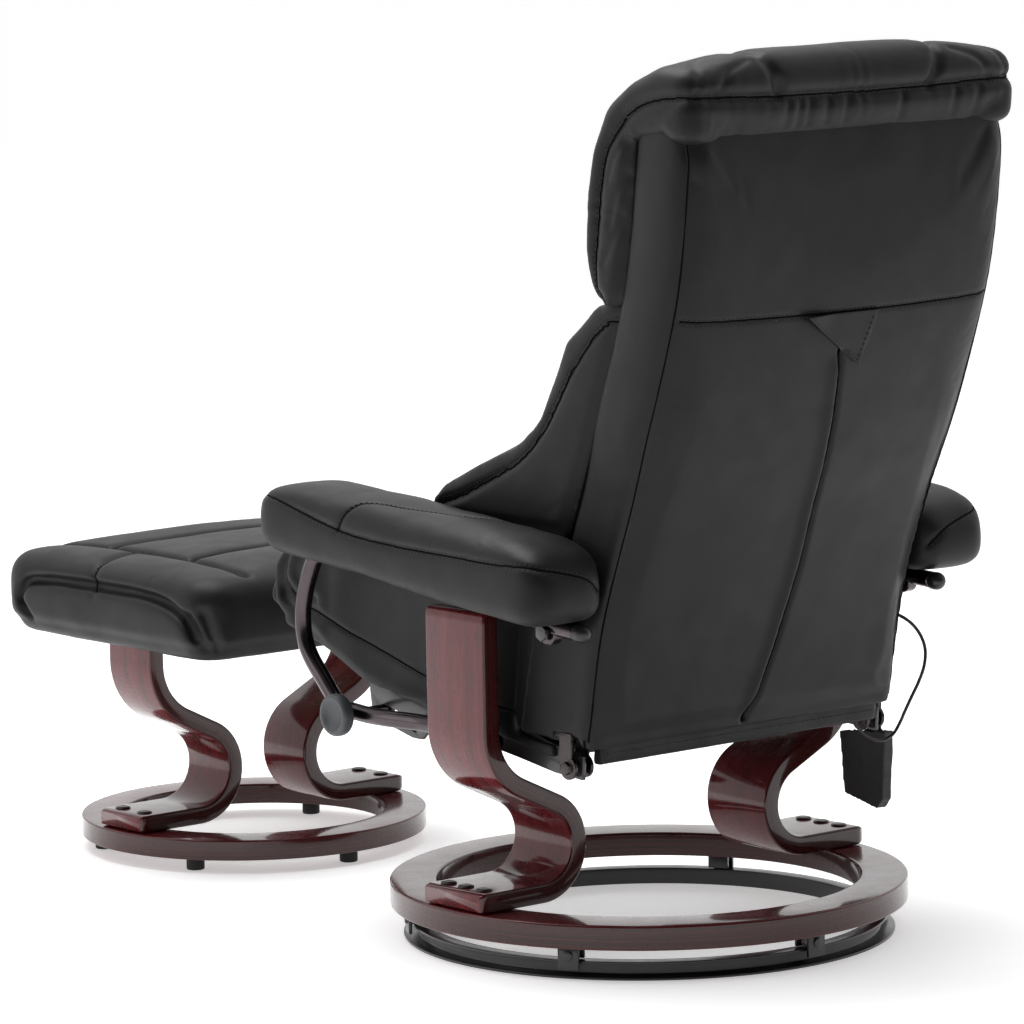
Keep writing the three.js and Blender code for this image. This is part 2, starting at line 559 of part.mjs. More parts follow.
add('stool_ring', plainRing(STOOL, 2, 56), MAT.wood, stoolGroup);
add('stool_leg_left', stoolLeg, MAT.wood, stoolGroup);
add('stool_leg_right', flipX(stoolLeg), MAT.wood, stoolGroup);
add('stool_board', stoolBoard(), MAT.plywood, stoolGroup);
add('stool_cushion', stoolCushion(), MAT.leather, stoolGroup);
const FOOT = { count: 6, firstDeg: 30, r: 187, size: 11 };
for (let i = 0; i < FOOT.count; i += 1) {
  const angle = THREE.MathUtils.degToRad(FOOT.firstDeg + (360 / FOOT.count) * i);
  const foot = post(FOOT.size, FOOT.r * Math.cos(angle), FOOT.r * Math.sin(angle), 0,
    STOOL.zLow - GAP, 20);
  add(`stool_foot_${i + 1}`, foot, MAT.blackPlastic, stoolGroup);
}

// ---------------------------------------------------------------- origin at the set's bottom centre
const bounds = new THREE.Box3().setFromObject(model);
model.position.y = -(bounds.min.y + bounds.max.y) / 2;

export default model;
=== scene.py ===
"""Looks of the reclining massage chair and its footstool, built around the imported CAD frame.

All shapes are drawn in metres in the chair's own frame: X = 0 and Y = 0 on the axis of the swivel
ring, Z = 0 on the floor, the sitter facing -Y. place() then moves a piece into the CAD frame.
"""
import math

import bmesh
import bpy
import numpy as np
from mathutils import Matrix, Vector, noise
from mathutils.bvhtree import BVHTree
from mathutils.kdtree import KDTree


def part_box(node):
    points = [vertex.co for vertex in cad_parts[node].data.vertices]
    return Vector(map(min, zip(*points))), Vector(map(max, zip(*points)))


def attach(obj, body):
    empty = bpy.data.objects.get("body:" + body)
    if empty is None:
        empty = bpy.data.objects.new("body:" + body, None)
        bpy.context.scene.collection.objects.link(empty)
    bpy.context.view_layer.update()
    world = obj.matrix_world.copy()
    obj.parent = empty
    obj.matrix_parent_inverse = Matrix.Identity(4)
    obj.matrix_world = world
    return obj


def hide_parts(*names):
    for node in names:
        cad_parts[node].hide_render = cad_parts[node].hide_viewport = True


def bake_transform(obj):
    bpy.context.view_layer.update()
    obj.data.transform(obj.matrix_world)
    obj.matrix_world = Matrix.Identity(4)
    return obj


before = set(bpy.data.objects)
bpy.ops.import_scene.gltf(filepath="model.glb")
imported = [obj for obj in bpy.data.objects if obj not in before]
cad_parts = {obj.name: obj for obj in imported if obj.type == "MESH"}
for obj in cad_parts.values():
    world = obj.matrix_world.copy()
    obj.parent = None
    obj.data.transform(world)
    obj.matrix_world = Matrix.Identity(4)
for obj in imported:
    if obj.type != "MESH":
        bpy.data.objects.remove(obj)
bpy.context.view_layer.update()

scene = bpy.context.scene


def middle_y(node):
    """Y of the middle of a CAD node."""
    low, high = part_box(node)
    return (low.y + high.y) / 2


RING_Y = middle_y("wood_ring")              # the chair's axis in the CAD frame
STOOL_Y = middle_y("stool_ring") - RING_Y   # the stool's axis in the chair's frame
PAD_Y = middle_y("stool_cushion") - RING_Y  # the middle of the stool's cushion

HALF = 0.233                                # half width of the upholstered seat and back
VOXEL, FINE_VOXEL = 0.005, 0.004


# ---- camera, floor and light
def camera():
    """A long lens behind the chair's left shoulder, a little above the armrests."""
    azimuth, elevation = math.radians(39.97), math.radians(7.68)
    distance, roll = 6.272, math.radians(-0.98)
    target = Vector((0.1938, RING_Y, 0.498))
    away = Vector((math.sin(azimuth) * math.cos(elevation),
                   math.cos(azimuth) * math.cos(elevation), math.sin(elevation)))
    level = Vector((-math.cos(azimuth), math.sin(azimuth), 0))
    upright = away.cross(level)
    right = level * math.cos(roll) + upright * math.sin(roll)
    up = upright * math.cos(roll) - level * math.sin(roll)
    data = bpy.data.cameras.new("camera")
    data.sensor_width = 36
    data.lens = 199.2
    data.clip_end = 200
    obj = bpy.data.objects.new("camera", data)
    scene.collection.objects.link(obj)
    turned = Matrix((right, up, away)).transposed().to_4x4()
    obj.matrix_world = Matrix.Translation(target + away * distance) @ turned
    scene.camera = obj


def soft_light(name, place_at, aim, size, power):
    data = bpy.data.lights.new(name, "AREA")
    data.shape = "RECTANGLE"
    data.size, data.size_y = size
    data.energy = power
    obj = bpy.data.objects.new(name, data)
    scene.collection.objects.link(obj)
    obj.location = place_at
    obj.rotation_euler = (Vector(aim) - Vector(place_at)).to_track_quat("-Z", "Y").to_euler()


VIEWER_SIDE = (0.44, 0.89, 0.12)            # the direction in which the surroundings darken


def studio():
    """A white floor, surroundings darker on the viewer's side, and three large soft lights."""
    bpy.ops.mesh.primitive_plane_add(size=160, location=(0, 0, -0.0005))
    floor = bpy.context.object
    floor.name = "floor"
    mat, look = finish("studio_floor")
    look.set(Base_Color=(0.93, 0.93, 0.93, 1), Roughness=0.9, Specular_IOR_Level=0.1,
             Emission_Color=(1, 1, 1, 1), Emission_Strength=0.42)
    floor.data.materials.append(mat)
    world = bpy.data.worlds.new("studio")
    world.use_nodes = True
    sky = Tree(world.node_tree, "Background")
    facing = sky.node("VectorMath", operation="DOT_PRODUCT")
    facing.inputs[1].default_value = VIEWER_SIDE
    sky.links.new(sky.node("TexCoord").outputs["Generated"], facing.inputs[0])
    sky.feed("Color", sky.ramp(facing.outputs["Value"], (0.0, 0.95), (0.56, 0.05)))
    sky.set(Strength=1.0)
    scene.world = world
    soft_light("light_left", (3.4, -1.2, 1.7), (0.1, 0.1, 0.5), (1.6, 2.4), 13)
    soft_light("light_right", (-2.2, 3.8, 2.1), (0, 0.2, 0.5), (2.0, 2.4), 3)
    soft_light("light_top", (0.2, -0.5, 3.4), (0, -0.1, 0.3), (2.6, 2.6), 104)
    scene.view_settings.view_transform = "Standard"


# ---- materials
class Tree:
    """A node tree that ends in one node, with short calls for the nodes that feed it."""

    def __init__(self, tree, last):
        self.nodes, self.links, self.last = tree.nodes, tree.links, tree.nodes[last]

    def set(self, **values):
        """Sets inputs of the last node. An underscore in a name stands for a space."""
        for key, value in values.items():
            self.last.inputs[key.replace("_", " ")].default_value = value

    def feed(self, name, source):
        self.links.new(source, self.last.inputs[name])

    def node(self, kind, vector=None, **values):
        """A node with its settings. Keyword names with a capital letter are inputs."""
        node = self.nodes.new("ShaderNode" + kind)
        for key, value in values.items():
            if key[0].isupper():
                node.inputs[key].default_value = value
            else:
                setattr(node, key, value)
        if vector is not None:
            self.links.new(vector, node.inputs["Vector"])
        return node

    def stored(self, name, output="Fac"):
        """An attribute of the mesh."""
        return self.node("Attribute", attribute_name=name).outputs[output]

    def place(self, scale=(1, 1, 1), attribute=None):
        """A coordinate for a pattern: the object's own metres, or a stored attribute, scaled."""
        own = (self.stored(attribute, "Vector") if attribute
               else self.node("TexCoord").outputs["Object"])
        return self.node("Mapping", own, Scale=scale).outputs["Vector"]

    def noise(self, vector, **values):
        return self.node("TexNoise", vector, **values).outputs["Fac"]

    def ramp(self, factor, *stops):
        """A colour ramp over a factor from stops of (position, colour or grey)."""
        node = self.node("ValToRGB")
        elements = node.color_ramp.elements
        while len(elements) < len(stops):
            elements.new(0.5)
        for element, (position, colour) in zip(elements, stops):
            element.position = position
            element.color = (*(colour if isinstance(colour, tuple) else (colour,) * 3), 1)
        self.links.new(factor, node.inputs["Fac"])
        return node.outputs["Color"]

    def mix(self, factor, first, second, mode="MIX"):
        node = self.node("Mix", data_type="RGBA", blend_type=mode)
        for number, value in ((0, factor), (6, first), (7, second)):
            if isinstance(value, bpy.types.NodeSocket):
                self.links.new(value, node.inputs[number])
            else:
                value = (*value, 1) if isinstance(value, tuple) else value
                node.inputs[number].default_value = value
        return node.outputs[2]

    def bump(self, height, strength, distance, before=None):
        node = self.node("Bump", Strength=strength, Distance=distance)
        self.links.new(height, node.inputs["Height"])
        if before:
            self.links.new(before, node.inputs["Normal"])
        return node.outputs["Normal"]


def finish(name):
    """A new material and its node tree."""
    mat = bpy.data.materials.new(name)
    mat.use_nodes = True
    return mat, Tree(mat.node_tree, "Principled BSDF")


def leather():
    """Semi-matt artificial leather: fine pebble grain, cloudy tone, and painted shade along its seams.
    """
    mat, look = finish("black_leather")
    place = look.place()
    cloud = look.noise(place, Scale=7, Detail=5, Roughness=0.6)
    tone = look.ramp(cloud, (0.3, 0.0044), (0.7, 0.0066))
    # The stored seam value mixes in this darker colour: painted shade in the seams' grooves and in the
    # rear skin's slit.
    look.feed("Base Color", look.mix(look.stored("seam"), tone, (0.005, 0.005, 0.0055)))
    smear = look.noise(place, Scale=26, Detail=6, Roughness=0.65)
    look.feed("Roughness", look.ramp(smear, (0.25, 0.43), (0.75, 0.56)))
    pebble = look.node("TexVoronoi", place, Scale=720, Randomness=1).outputs["Distance"]
    crinkle = look.noise(place, Scale=160, Detail=8, Roughness=0.7)
    look.feed("Normal", look.bump(crinkle, 0.14, 0.0008, look.bump(pebble, 0.16, 0.0004)))
    look.set(Specular_IOR_Level=0.26, Sheen_Weight=0.02, Sheen_Roughness=0.5)
    return mat


def thread():
    mat, look = finish("sewing_thread")
    twist = look.node("TexWave", look.place(), Scale=900, Distortion=1).outputs["Fac"]
    look.feed("Base Color", look.ramp(twist, (0, 0.006), (1, 0.014)))
    look.set(Roughness=0.6, Sheen_Weight=0.04)
    return mat


def lacquered_wood():
    """Stained bent plywood under gloss lacquer, with its grain along the stored coordinate."""
    mat, look = finish("lacquered_wood")
    figure = look.noise(look.place((3.2, 46, 46), "grain"), Scale=1.6, Detail=9, Roughness=0.62,
                        Distortion=0.6)
    base = look.ramp(figure, (0.28, (0.064, 0.0050, 0.0068)), (0.5, (0.108, 0.0095, 0.0125)),
                     (0.72, (0.150, 0.0155, 0.0190)))
    pores = look.noise(look.place((22, 900, 900), "grain"), Scale=1, Detail=3, Roughness=0.5)
    base = look.mix(look.ramp(pores, (0.56, 0), (0.66, 1)), base, (0.035, 0.006, 0.005))
    plies = look.noise(look.place((0.4, 2, 900), "grain"), Scale=1, Detail=1)
    dark = look.ramp(plies, (0.42, (0.024, 0.004, 0.004)), (0.55, (0.055, 0.008, 0.007)))
    look.feed("Base Color", look.mix(look.stored("edge"), base, dark))
    look.feed("Normal", look.bump(pores, 0.05, 0.0003))
    wear = look.noise(look.place(), Scale=35, Detail=6)
    look.feed("Roughness", look.ramp(wear, (0.35, 0.22), (0.75, 0.36)))
    look.set(Specular_IOR_Level=0.05, Coat_Weight=0.85, Coat_Roughness=0.09, Coat_IOR=1.52)
    return mat


def metal(name, colour, roughness, grain=0.04, metallic=1.0, coat=0.0):
    """Plated or coated steel with faint cloudy wear and a fine surface texture."""
    mat, look = finish(name)
    place = look.place()
    cloud = look.noise(place, Scale=60, Detail=5, Roughness=0.6)
    bright = tuple(min(c * 1.25, 1) for c in colour)
    look.feed("Base Color", look.ramp(cloud, (0.3, colour), (0.75, bright)))
    look.feed("Roughness", look.ramp(cloud, (0.3, roughness[0]), (0.7, roughness[1])))
    look.feed("Normal", look.bump(look.noise(place, Scale=900, Detail=2), grain, 0.0003))
    look.set(Metallic=metallic, Coat_Weight=coat, Coat_Roughness=0.12)
    return mat


def plastic(name, colour, roughness, grain, specular=0.5):
    """Moulded plastic or rubber with a spark-eroded texture."""
    mat, look = finish(name)
    place = look.place()
    cloud = look.noise(place, Scale=45, Detail=4)
    look.feed("Base Color", look.ramp(cloud, (0.3, colour), (0.7, tuple(c * 1.3 for c in colour))))
    look.feed("Roughness", look.ramp(cloud, (0.3, roughness), (0.7, roughness + 0.1)))
    fine = look.node("TexVoronoi", place, Scale=1500).outputs["Distance"]
    look.feed("Normal", look.bump(fine, grain, 0.0002))
    look.set(Specular_IOR_Level=specular)
    return mat


def woven_cloth():
    """Coated black cloth: a fine plain weave under a dull coating."""
    mat, look = finish("pouch_fabric")
    place = look.place()
    warp, weft = [look.node("TexWave", place, Scale=420, bands_direction=way).outputs["Color"]
                  for way in "YZ"]
    weave = look.mix(0.5, warp, weft, "MULTIPLY")
    look.feed("Base Color", look.ramp(weave, (0, 0.006), (1, 0.013)))
    look.feed("Normal", look.bump(weave, 0.3, 0.0003))
    look.set(Roughness=0.62, Sheen_Weight=0.1)
    return mat


def plywood():
    mat, look = finish("plywood")
    grain = look.noise(look.place((2, 40, 60)), Scale=1.5, Detail=8, Distortion=0.8)
    tone = look.ramp(grain, (0.3, (0.085, 0.050, 0.035)), (0.7, (0.14, 0.09, 0.06)))
    look.feed("Base Color", tone)
    look.feed("Normal", look.bump(grain, 0.15, 0.0004))
    look.set(Roughness=0.7)
    return mat


METALS = {
    "black_steel": ((0.011, 0.011, 0.013), (0.30, 0.42), 0.08, 0.0, 0.35),
    "gunmetal_tube": ((0.075, 0.062, 0.066), (0.16, 0.24), 0.02),
    "zinc": ((0.42, 0.41, 0.40), (0.28, 0.42), 0.08),
    "hinge_steel": ((0.055, 0.047, 0.047), (0.22, 0.34), 0.05),
}
PLASTICS = {
    "grey_plastic": ((0.052, 0.057, 0.062), 0.42, 0.12),
    "black_plastic": ((0.010, 0.010, 0.011), 0.28, 0.04),
    "roller_plastic": ((0.22, 0.22, 0.21), 0.45, 0.05),
    "foot_rubber": ((0.012, 0.012, 0.012), 0.7, 0.2),
    "lead_sheath": ((0.018, 0.010, 0.012), 0.35, 0.03),
    "cap_plastic": ((0.020, 0.009, 0.009), 0.3, 0.05),
    # near-black colour of the painted shade strips in the seams' gaps, not a plastic part
    "seam_shade_strip": ((0.0025, 0.0025, 0.0025), 0.8, 0.1, 0.05),
}

studio()
camera()
MATERIALS = {"black_leather": leather(), "thread": thread(), "lacquered_wood": lacquered_wood(),
             "pouch_fabric": woven_cloth(), "plywood": plywood()}
MATERIALS.update({name: metal(name, *values) for name, values in METALS.items()})
MATERIALS.update({name: plastic(name, *values) for name, values in PLASTICS.items()})


# ---- curves and meshes
def smooth_line(points, step=0.004):
    """A centripetal Catmull-Rom curve through points, sampled about every step metres."""
    p = np.array(points, float)
    p = np.vstack([2 * p[0] - p[1], p, 2 * p[-1] - p[-2]])
    out = []
    for i in range(1, len(p) - 2):
        a, b, c, d = p[i - 1], p[i], p[i + 1], p[i + 2]
        ta = np.linalg.norm(b - a) ** 0.5
        tb = np.linalg.norm(c - b) ** 0.5
        tc = np.linalg.norm(d - c) ** 0.5
        m1 = (c - b) + tb * ((b - a) / ta - (c - a) / (ta + tb))
        m2 = (c - b) + tb * ((d - c) / tc - (d - b) / (tb + tc))
        count = max(2, int(np.linalg.norm(c - b) / step))
        for t in np.linspace(0, 1, count, endpoint=False):
            h = (2 * t**3 - 3 * t**2 + 1, t**3 - 2 * t**2 + t, 3 * t**2 - 2 * t**3, t**3 - t**2)
            out.append(h[0] * b + h[1] * m1 + h[2] * c + h[3] * m2)
    out.append(p[-2])
    return np.array(out)


def arc(centre, radius, start, end, steps):
    """Points of an arc in a plane, in degrees."""
    angles = np.radians(np.linspace(start, end, steps + 1))
    return [(centre[0] + radius * math.cos(t), centre[1] + radius * math.sin(t)) for t in angles]


def round_corners(points, radius, steps=4, closed=True):
    """A polygon of 2D points with its corners rounded."""
    p = [Vector(q) for q in points]
    out = []
    for i, corner in enumerate(p):
        if not closed and i in (0, len(p) - 1):
            out.append(tuple(corner))
            continue
        before, after = (p[i - 1] - corner), (p[(i + 1) % len(p)] - corner)
        reach = min(radius, before.length / 2.05, after.length / 2.05)
        a, b = corner + before.normalized() * reach, corner + after.normalized() * reach
        for k in range(steps + 1):
            t = k / steps
            out.append(tuple((1 - t) ** 2 * a + 2 * t * (1 - t) * corner + t * t * b))
    return out


def shade_smooth(obj):
    obj.data.polygons.foreach_set("use_smooth", [True] * len(obj.data.polygons))


def new_object(name, verts, faces):
    mesh = bpy.data.meshes.new(name)
    mesh.from_pydata([tuple(v) for v in verts], [], faces)
    mesh.validate()
    obj = bpy.data.objects.new(name, mesh)
    scene.collection.objects.link(obj)
    bm = bmesh.new()
    bm.from_mesh(mesh)
    bmesh.ops.recalc_face_normals(bm, faces=bm.faces)
    bm.to_mesh(mesh)
    bm.free()
    shade_smooth(obj)
    return obj


def loft(name, rings, loop=False):
    """A solid through closed rings of equal length: capped, or with loop closed on itself."""
    count = len(rings[0])
    verts = [tuple(v) for ring in rings for v in ring]
    faces = []
    last = len(rings) if loop else len(rings) - 1
    for i in range(last):
        a, b = i * count, ((i + 1) % len(rings)) * count
        for k in range(count):
            n = (k + 1) % count
            faces.append((a + k, a + n, b + n, b + k))
    if not loop:
        faces.append(tuple(range(count)))
        faces.append(tuple((len(rings) - 1) * count + k for k in range(count)))
    return new_object(name, verts, faces)


def prism(name, outline, x0, x1):
    """A side outline of (y, z) points extruded along X."""
    return loft(name, [[(x, y, z) for y, z in outline] for x in (x0, x1)])


def lathe(name, profile, segments=160):
    """A closed (radius, z) profile turned about Z."""
    rings = []
    for i in range(segments):
        angle = 2 * math.pi * i / segments
        rings.append([(r * math.cos(angle), r * math.sin(angle), z) for r, z in profile])
    return loft(name, rings, loop=True)


def sweep(name, line, section):
    """A section of (side, normal) points carried along a 3D line, with capped ends."""
    line = np.array(line, float)
    tangents = np.gradient(line, axis=0)
    tangents /= np.linalg.norm(tangents, axis=1)[:, None]
    side = np.cross(tangents[0], np.array((0, 0, 1.0)))
    if np.linalg.norm(side) < 1e-6:
        side = np.cross(tangents[0], np.array((1.0, 0, 0)))
    rings = []
    for point, tangent in zip(line, tangents):
        side = side - tangent * side.dot(tangent)
        side /= np.linalg.norm(side)
        normal = np.cross(side, tangent)
        rings.append([point + side * a + normal * b for a, b in section])
    return loft(name, rings)


def circle(radius, count=20):
    return [(radius * math.cos(2 * math.pi * k / count), radius * math.sin(2 * math.pi * k / count))
            for k in range(count)]


def join(name, *objects):
    """One object from several."""
    bpy.ops.object.select_all(action="DESELECT")
    for obj in objects:
        obj.select_set(True)
    bpy.context.view_layer.objects.active = objects[0]
    bpy.ops.object.join()
    objects[0].name = name
    objects[0].data.name = name
    return objects[0]


def mirrored(obj, name):
    """A copy on the other side of the chair."""
    copy = obj.copy()
    copy.data = obj.data.copy()
    copy.name = name
    scene.collection.objects.link(copy)
    copy.data.transform(Matrix.Scale(-1, 4, (1, 0, 0)))
    copy.data.flip_normals()
    return copy


def from_node(name, node):
    """A copy of a CAD node's mesh, moved into the chair's frame."""
    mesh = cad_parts[node].data.copy()
    mesh.materials.clear()
    mesh.transform(Matrix.Translation((0, -RING_Y, 0)))
    obj = bpy.data.objects.new(name, mesh)
    scene.collection.objects.link(obj)
    bm = bmesh.new()
    bm.from_mesh(mesh)
    bmesh.ops.remove_doubles(bm, verts=bm.verts, dist=1e-5)
    bm.to_mesh(mesh)
    bm.free()
    return obj


def baked(obj):
    """obj with its modifiers applied."""
    bpy.context.view_layer.update()
    mesh = bpy.data.meshes.new_from_object(obj.evaluated_get(bpy.context.evaluated_depsgraph_get()))
    obj.modifiers.clear()
    obj.data = mesh
    obj.data.name = obj.name
    return obj


def voxelised(obj, size):
    """obj with even points all over, so that it can be bent."""
    remesh = obj.modifiers.new("remesh", "REMESH")
    remesh.mode = "VOXEL"
    remesh.voxel_size = size
    return baked(obj)


def bevelled(obj, width):
    modifier = obj.modifiers.new("bevel", "BEVEL")
    modifier.width = width
    modifier.segments = 2
    modifier.limit_method = "ANGLE"
    modifier.angle_limit = math.radians(30)
    baked(obj)
    shade_smooth(obj)
    obj.data.set_sharp_from_angle(angle=math.radians(40))
    return obj


def place(obj, body, slot, *nodes, material=None):
    """Moves a piece into the CAD frame, gives it its finish and makes it ride on its body."""
    obj.data.transform(Matrix.Translation((0, RING_Y, 0)))
    if not obj.data.materials:
        obj.data.materials.append(MATERIALS[material or slot])
    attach(obj, body)
    if nodes:
        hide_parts(*nodes)
    return obj


def coordinates(mesh, key="co"):
    out = np.empty(len(mesh.vertices) * 3)
    mesh.vertices.foreach_get(key, out)
    return out.reshape(-1, 3)


def set_coordinates(mesh, co):
    mesh.vertices.foreach_set("co", co.astype(np.float32).ravel())
    mesh.update()


def normals_of(mesh):
    return coordinates(mesh, "normal")


def ease(value, start, end):
    """0 before start, 1 after end, smooth between."""
    t = np.clip((value - start) / (end - start), 0, 1)
    return t * t * (3 - 2 * t)


# ---- soft pieces
SOFT = {}


def soft(name, obj, hold, cap, shrink=0.003, rounds=6, pressure=4.0, fuller=0.0):
    """Readies a cushion: even skin, eased edges, a cloth under pressure held where hold is 1."""
    obj.name = name
    voxelised(obj, VOXEL)
    ease_edges = obj.modifiers.new("smooth", "SMOOTH")
    ease_edges.iterations = rounds
    ease_edges.factor = 0.5
    baked(obj)
    mesh = obj.data
    set_coordinates(mesh, coordinates(mesh) - normals_of(mesh) * shrink)
    SOFT[name] = {"obj": obj, "cap": cap, "fuller": fuller, "rest": coordinates(mesh),
                  "hold": hold(coordinates(mesh))}
    group = obj.vertex_groups.new(name="hold")
    for index, weight in enumerate(SOFT[name]["hold"]):
        if weight > 0.02:
            group.add([index], float(min(weight, 1)), "REPLACE")
    cloth = obj.modifiers.new("cloth", "CLOTH")
    settings = cloth.settings
    settings.quality = 4
    settings.mass = 0.3
    settings.tension_stiffness = 10
    settings.compression_stiffness = 10
    settings.shear_stiffness = 8
    settings.bending_stiffness = 0.6
    settings.use_pressure = True
    settings.uniform_pressure_force = pressure
    settings.effector_weights.gravity = 0
    settings.vertex_group_mass = "hold"
    cloth.collision_settings.use_collision = False
    cloth.collision_settings.use_self_collision = False
    return obj


def run_cloth(frames=20):
    """Steps every cushion's cloth together, then keeps each shape with its movement capped."""
    for step in range(1, frames + 1):
        scene.frame_set(step)
    for item in SOFT.values():
        obj = item["obj"]
        shape = obj.evaluated_get(bpy.context.evaluated_depsgraph_get()).data
        moved = coordinates(shape)
        obj.modifiers.clear()
        obj.vertex_groups.clear()
        delta = moved - item["rest"]
        size = np.linalg.norm(delta, axis=1)
        limited = np.minimum(size, item["cap"]) / np.maximum(size, 1e-9)
        set_coordinates(obj.data, item["rest"] + delta * limited[:, None])
        fuller = item["fuller"] * (1 - np.clip(item["hold"], 0, 1))
        set_coordinates(obj.data, coordinates(obj.data) + normals_of(obj.data) * fuller[:, None])
        subdivide = obj.modifiers.new("subdivide", "SUBSURF")
        subdivide.levels = subdivide.render_levels = 1
        baked(obj)
        shade_smooth(obj)
    scene.frame_set(1)


def skin_of(obj):
    """A search tree over the faces of obj."""
    return BVHTree.FromObject(obj, bpy.context.evaluated_depsgraph_get())


def length_along(line):
    """How far along the line each of its points is."""
    return np.concatenate([[0], np.cumsum(np.linalg.norm(np.diff(line, axis=0), axis=1))])


def cast(obj, points, direction=None, step=0.003):
    """A smooth line through points, thrown on obj along direction or to the nearest skin."""
    tree = skin_of(obj)
    out = []
    for p in smooth_line(points, step):
        hit = None
        if direction is not None:
            way = Vector(direction).normalized()
            hit = tree.ray_cast(Vector(p) - way * 0.25, way)[0]
        if hit is None:
            hit = tree.find_nearest(Vector(p))[0]
        if not out or (hit - out[-1]).length > step * 0.3:
            out.append(hit)
    return np.array([tuple(p) for p in out])


def distances(co, line):
    """Each point's distance to a dense line, and how far along the line its nearest point is."""
    tree = KDTree(len(line))
    for i, p in enumerate(line):
        tree.insert(p, i)
    tree.balance()
    along = length_along(line)
    near = np.full(len(co), 1.0)
    where = np.zeros(len(co))
    low, high = line.min(0) - 0.05, line.max(0) + 0.05
    for i in np.nonzero(((co > low) & (co < high)).all(1))[0]:
        _, index, _ = tree.find(co[i])
        first, last = max(index - 1, 0), min(index + 1, len(line) - 1)
        run = line[last] - line[first]
        t = np.clip((co[i] - line[first]).dot(run) / max(run.dot(run), 1e-12), 0, 1)
        near[i] = np.linalg.norm(co[i] - line[first] - t * run)
        where[i] = along[first] + t * np.linalg.norm(run)
    return near, where


def crease(obj, line, depth=0.0028, width=0.0032, pucker=0.0, wave=0.016, reach=0.02, dark=0.8,
           seed=0.0):
    """Presses a seam into the skin along a line on it, with small gathers beside it, and paints shade
    into it, as strong as dark says.
    """
    mesh = obj.data
    co = coordinates(mesh)
    near, where = distances(co, line)
    push = depth * np.exp(-((near / width) ** 2))
    if pucker:
        close = np.nonzero(near < reach * 2.5)[0]
        for i in close:
            wobble = noise.noise((where[i] * 22 + seed, seed, 0.3)) * 4.2
            gather = math.sin(2 * math.pi * where[i] / wave + wobble * 2)
            strength = max(0.0, 0.25 + 1.6 * noise.noise((where[i] * 13 + seed, 3.1, seed)))
            push[i] += pucker * strength * gather * math.exp(-near[i] / reach) * (near[i] > 0.001)
    set_coordinates(mesh, co - normals_of(mesh) * push[:, None])
    # painted shade in the pressed seam
    darken(mesh, dark * np.exp(-((near / (width * 0.75)) ** 2)))


def darken(mesh, least):
    """Raises the stored seam value, the leather's painted shade, of each vertex to at least this."""
    seam = mesh.attributes.get("seam") or mesh.attributes.new("seam", "FLOAT", "POINT")
    values = np.empty(len(mesh.vertices), np.float32)
    seam.data.foreach_get("value", values)
    seam.data.foreach_set("value", np.maximum(values, least).astype(np.float32))


def undulate(obj, amount, scale, seed=0.0):
    """Slow, slight unevenness of the skin."""
    mesh = obj.data
    co = coordinates(mesh)
    push = np.array([noise.noise((p[0] * scale + seed, p[1] * scale, p[2] * scale)) for p in co])
    set_coordinates(mesh, co + normals_of(mesh) * (push * amount)[:, None])


def stitches(obj, lines, pitch=0.0062, length=0.0042, radius=0.00055, lift=0.0003):
    """Machine stitches along lines on the skin of obj, as one object."""
    tree = skin_of(obj)
    ring = [(0.0, 1.0), (0.87, -0.5), (-0.87, -0.5)]
    verts, faces = [], []
    for line in lines:
        along = length_along(line)
        for s in np.arange(pitch / 2, along[-1] - pitch / 2, pitch):
            ends = [np.array([np.interp(q, along, line[:, k]) for k in range(3)])
                    for q in (s - length / 2, s + length / 2)]
            skin, normal, _, _ = tree.find_nearest(Vector((ends[0] + ends[1]) / 2))
            if skin is None:
                continue
            way = Vector(ends[1] - ends[0])
            side = way.cross(normal).normalized()
            start = len(verts)
            for t, swell in ((-0.5, 0.35), (-0.3, 1.0), (0.3, 1.0), (0.5, 0.35)):
                centre = skin + way * t + normal * (lift - 0.0006 * (abs(t) > 0.4))
                for a, b in ring:
                    wide = radius * swell
                    verts.append(centre + side * (a * wide) + normal * (b * wide))
            for row in range(3):
                for k in range(3):
                    a, b = start + row * 3 + k, start + row * 3 + (k + 1) % 3
                    faces.append((a, b, b + 3, a + 3))
            faces.append((start, start + 2, start + 1))
            faces.append((start + 9, start + 10, start + 11))
    return new_object(obj.name + "_stitches", verts, faces)


def beside(obj, line, offset):
    """The line moved sideways over the skin by offset."""
    tree = skin_of(obj)
    tangents = np.gradient(line, axis=0)
    out = []
    for p, way in zip(line, tangents):
        _, normal, _, _ = tree.find_nearest(Vector(p))
        moved = Vector(p) + Vector(way).cross(normal).normalized() * offset
        out.append(tuple(tree.find_nearest(moved)[0]))
    return np.array(out)


def seam_shade_strip(obj, lines, radius=0.0009):
    """A dark strip of painted shade where two panels meet, lying just in the skin of obj along each
    line.
    """
    tree = skin_of(obj)
    parts = []
    for line in lines:
        on_skin = []
        for p in line:
            skin, normal, _, _ = tree.find_nearest(Vector(p))
            on_skin.append(tuple(skin + normal * (radius * 0.2)))
        parts.append(sweep("gap", on_skin, circle(radius, 6)))
    return join(obj.name + "_seam_shade_strip", *parts)


def sew(obj, body, rows):
    """The dark strips of painted shade in the seams of obj, and their stitches: rows are (line, [offsets
    of the stitches]).
    """
    gap = seam_shade_strip(obj, [line for line, _ in rows])
    place(gap, body, "black_leather", material="seam_shade_strip")
    lines = [beside(obj, line, offset) for line, offsets in rows for offset in offsets]
    if lines:
        place(stitches(obj, lines), body, "black_leather", material="thread")


# ---- rings, legs and tubes
def store(obj, name, values):
    """Stores a number or a vector for each vertex, for a material to read."""
    kind, key = ("FLOAT", "value") if values.ndim == 1 else ("FLOAT_VECTOR", "vector")
    attribute = obj.data.attributes.new(name, kind, "POINT")
    attribute.data.foreach_set(key, values.astype(np.float32).ravel())


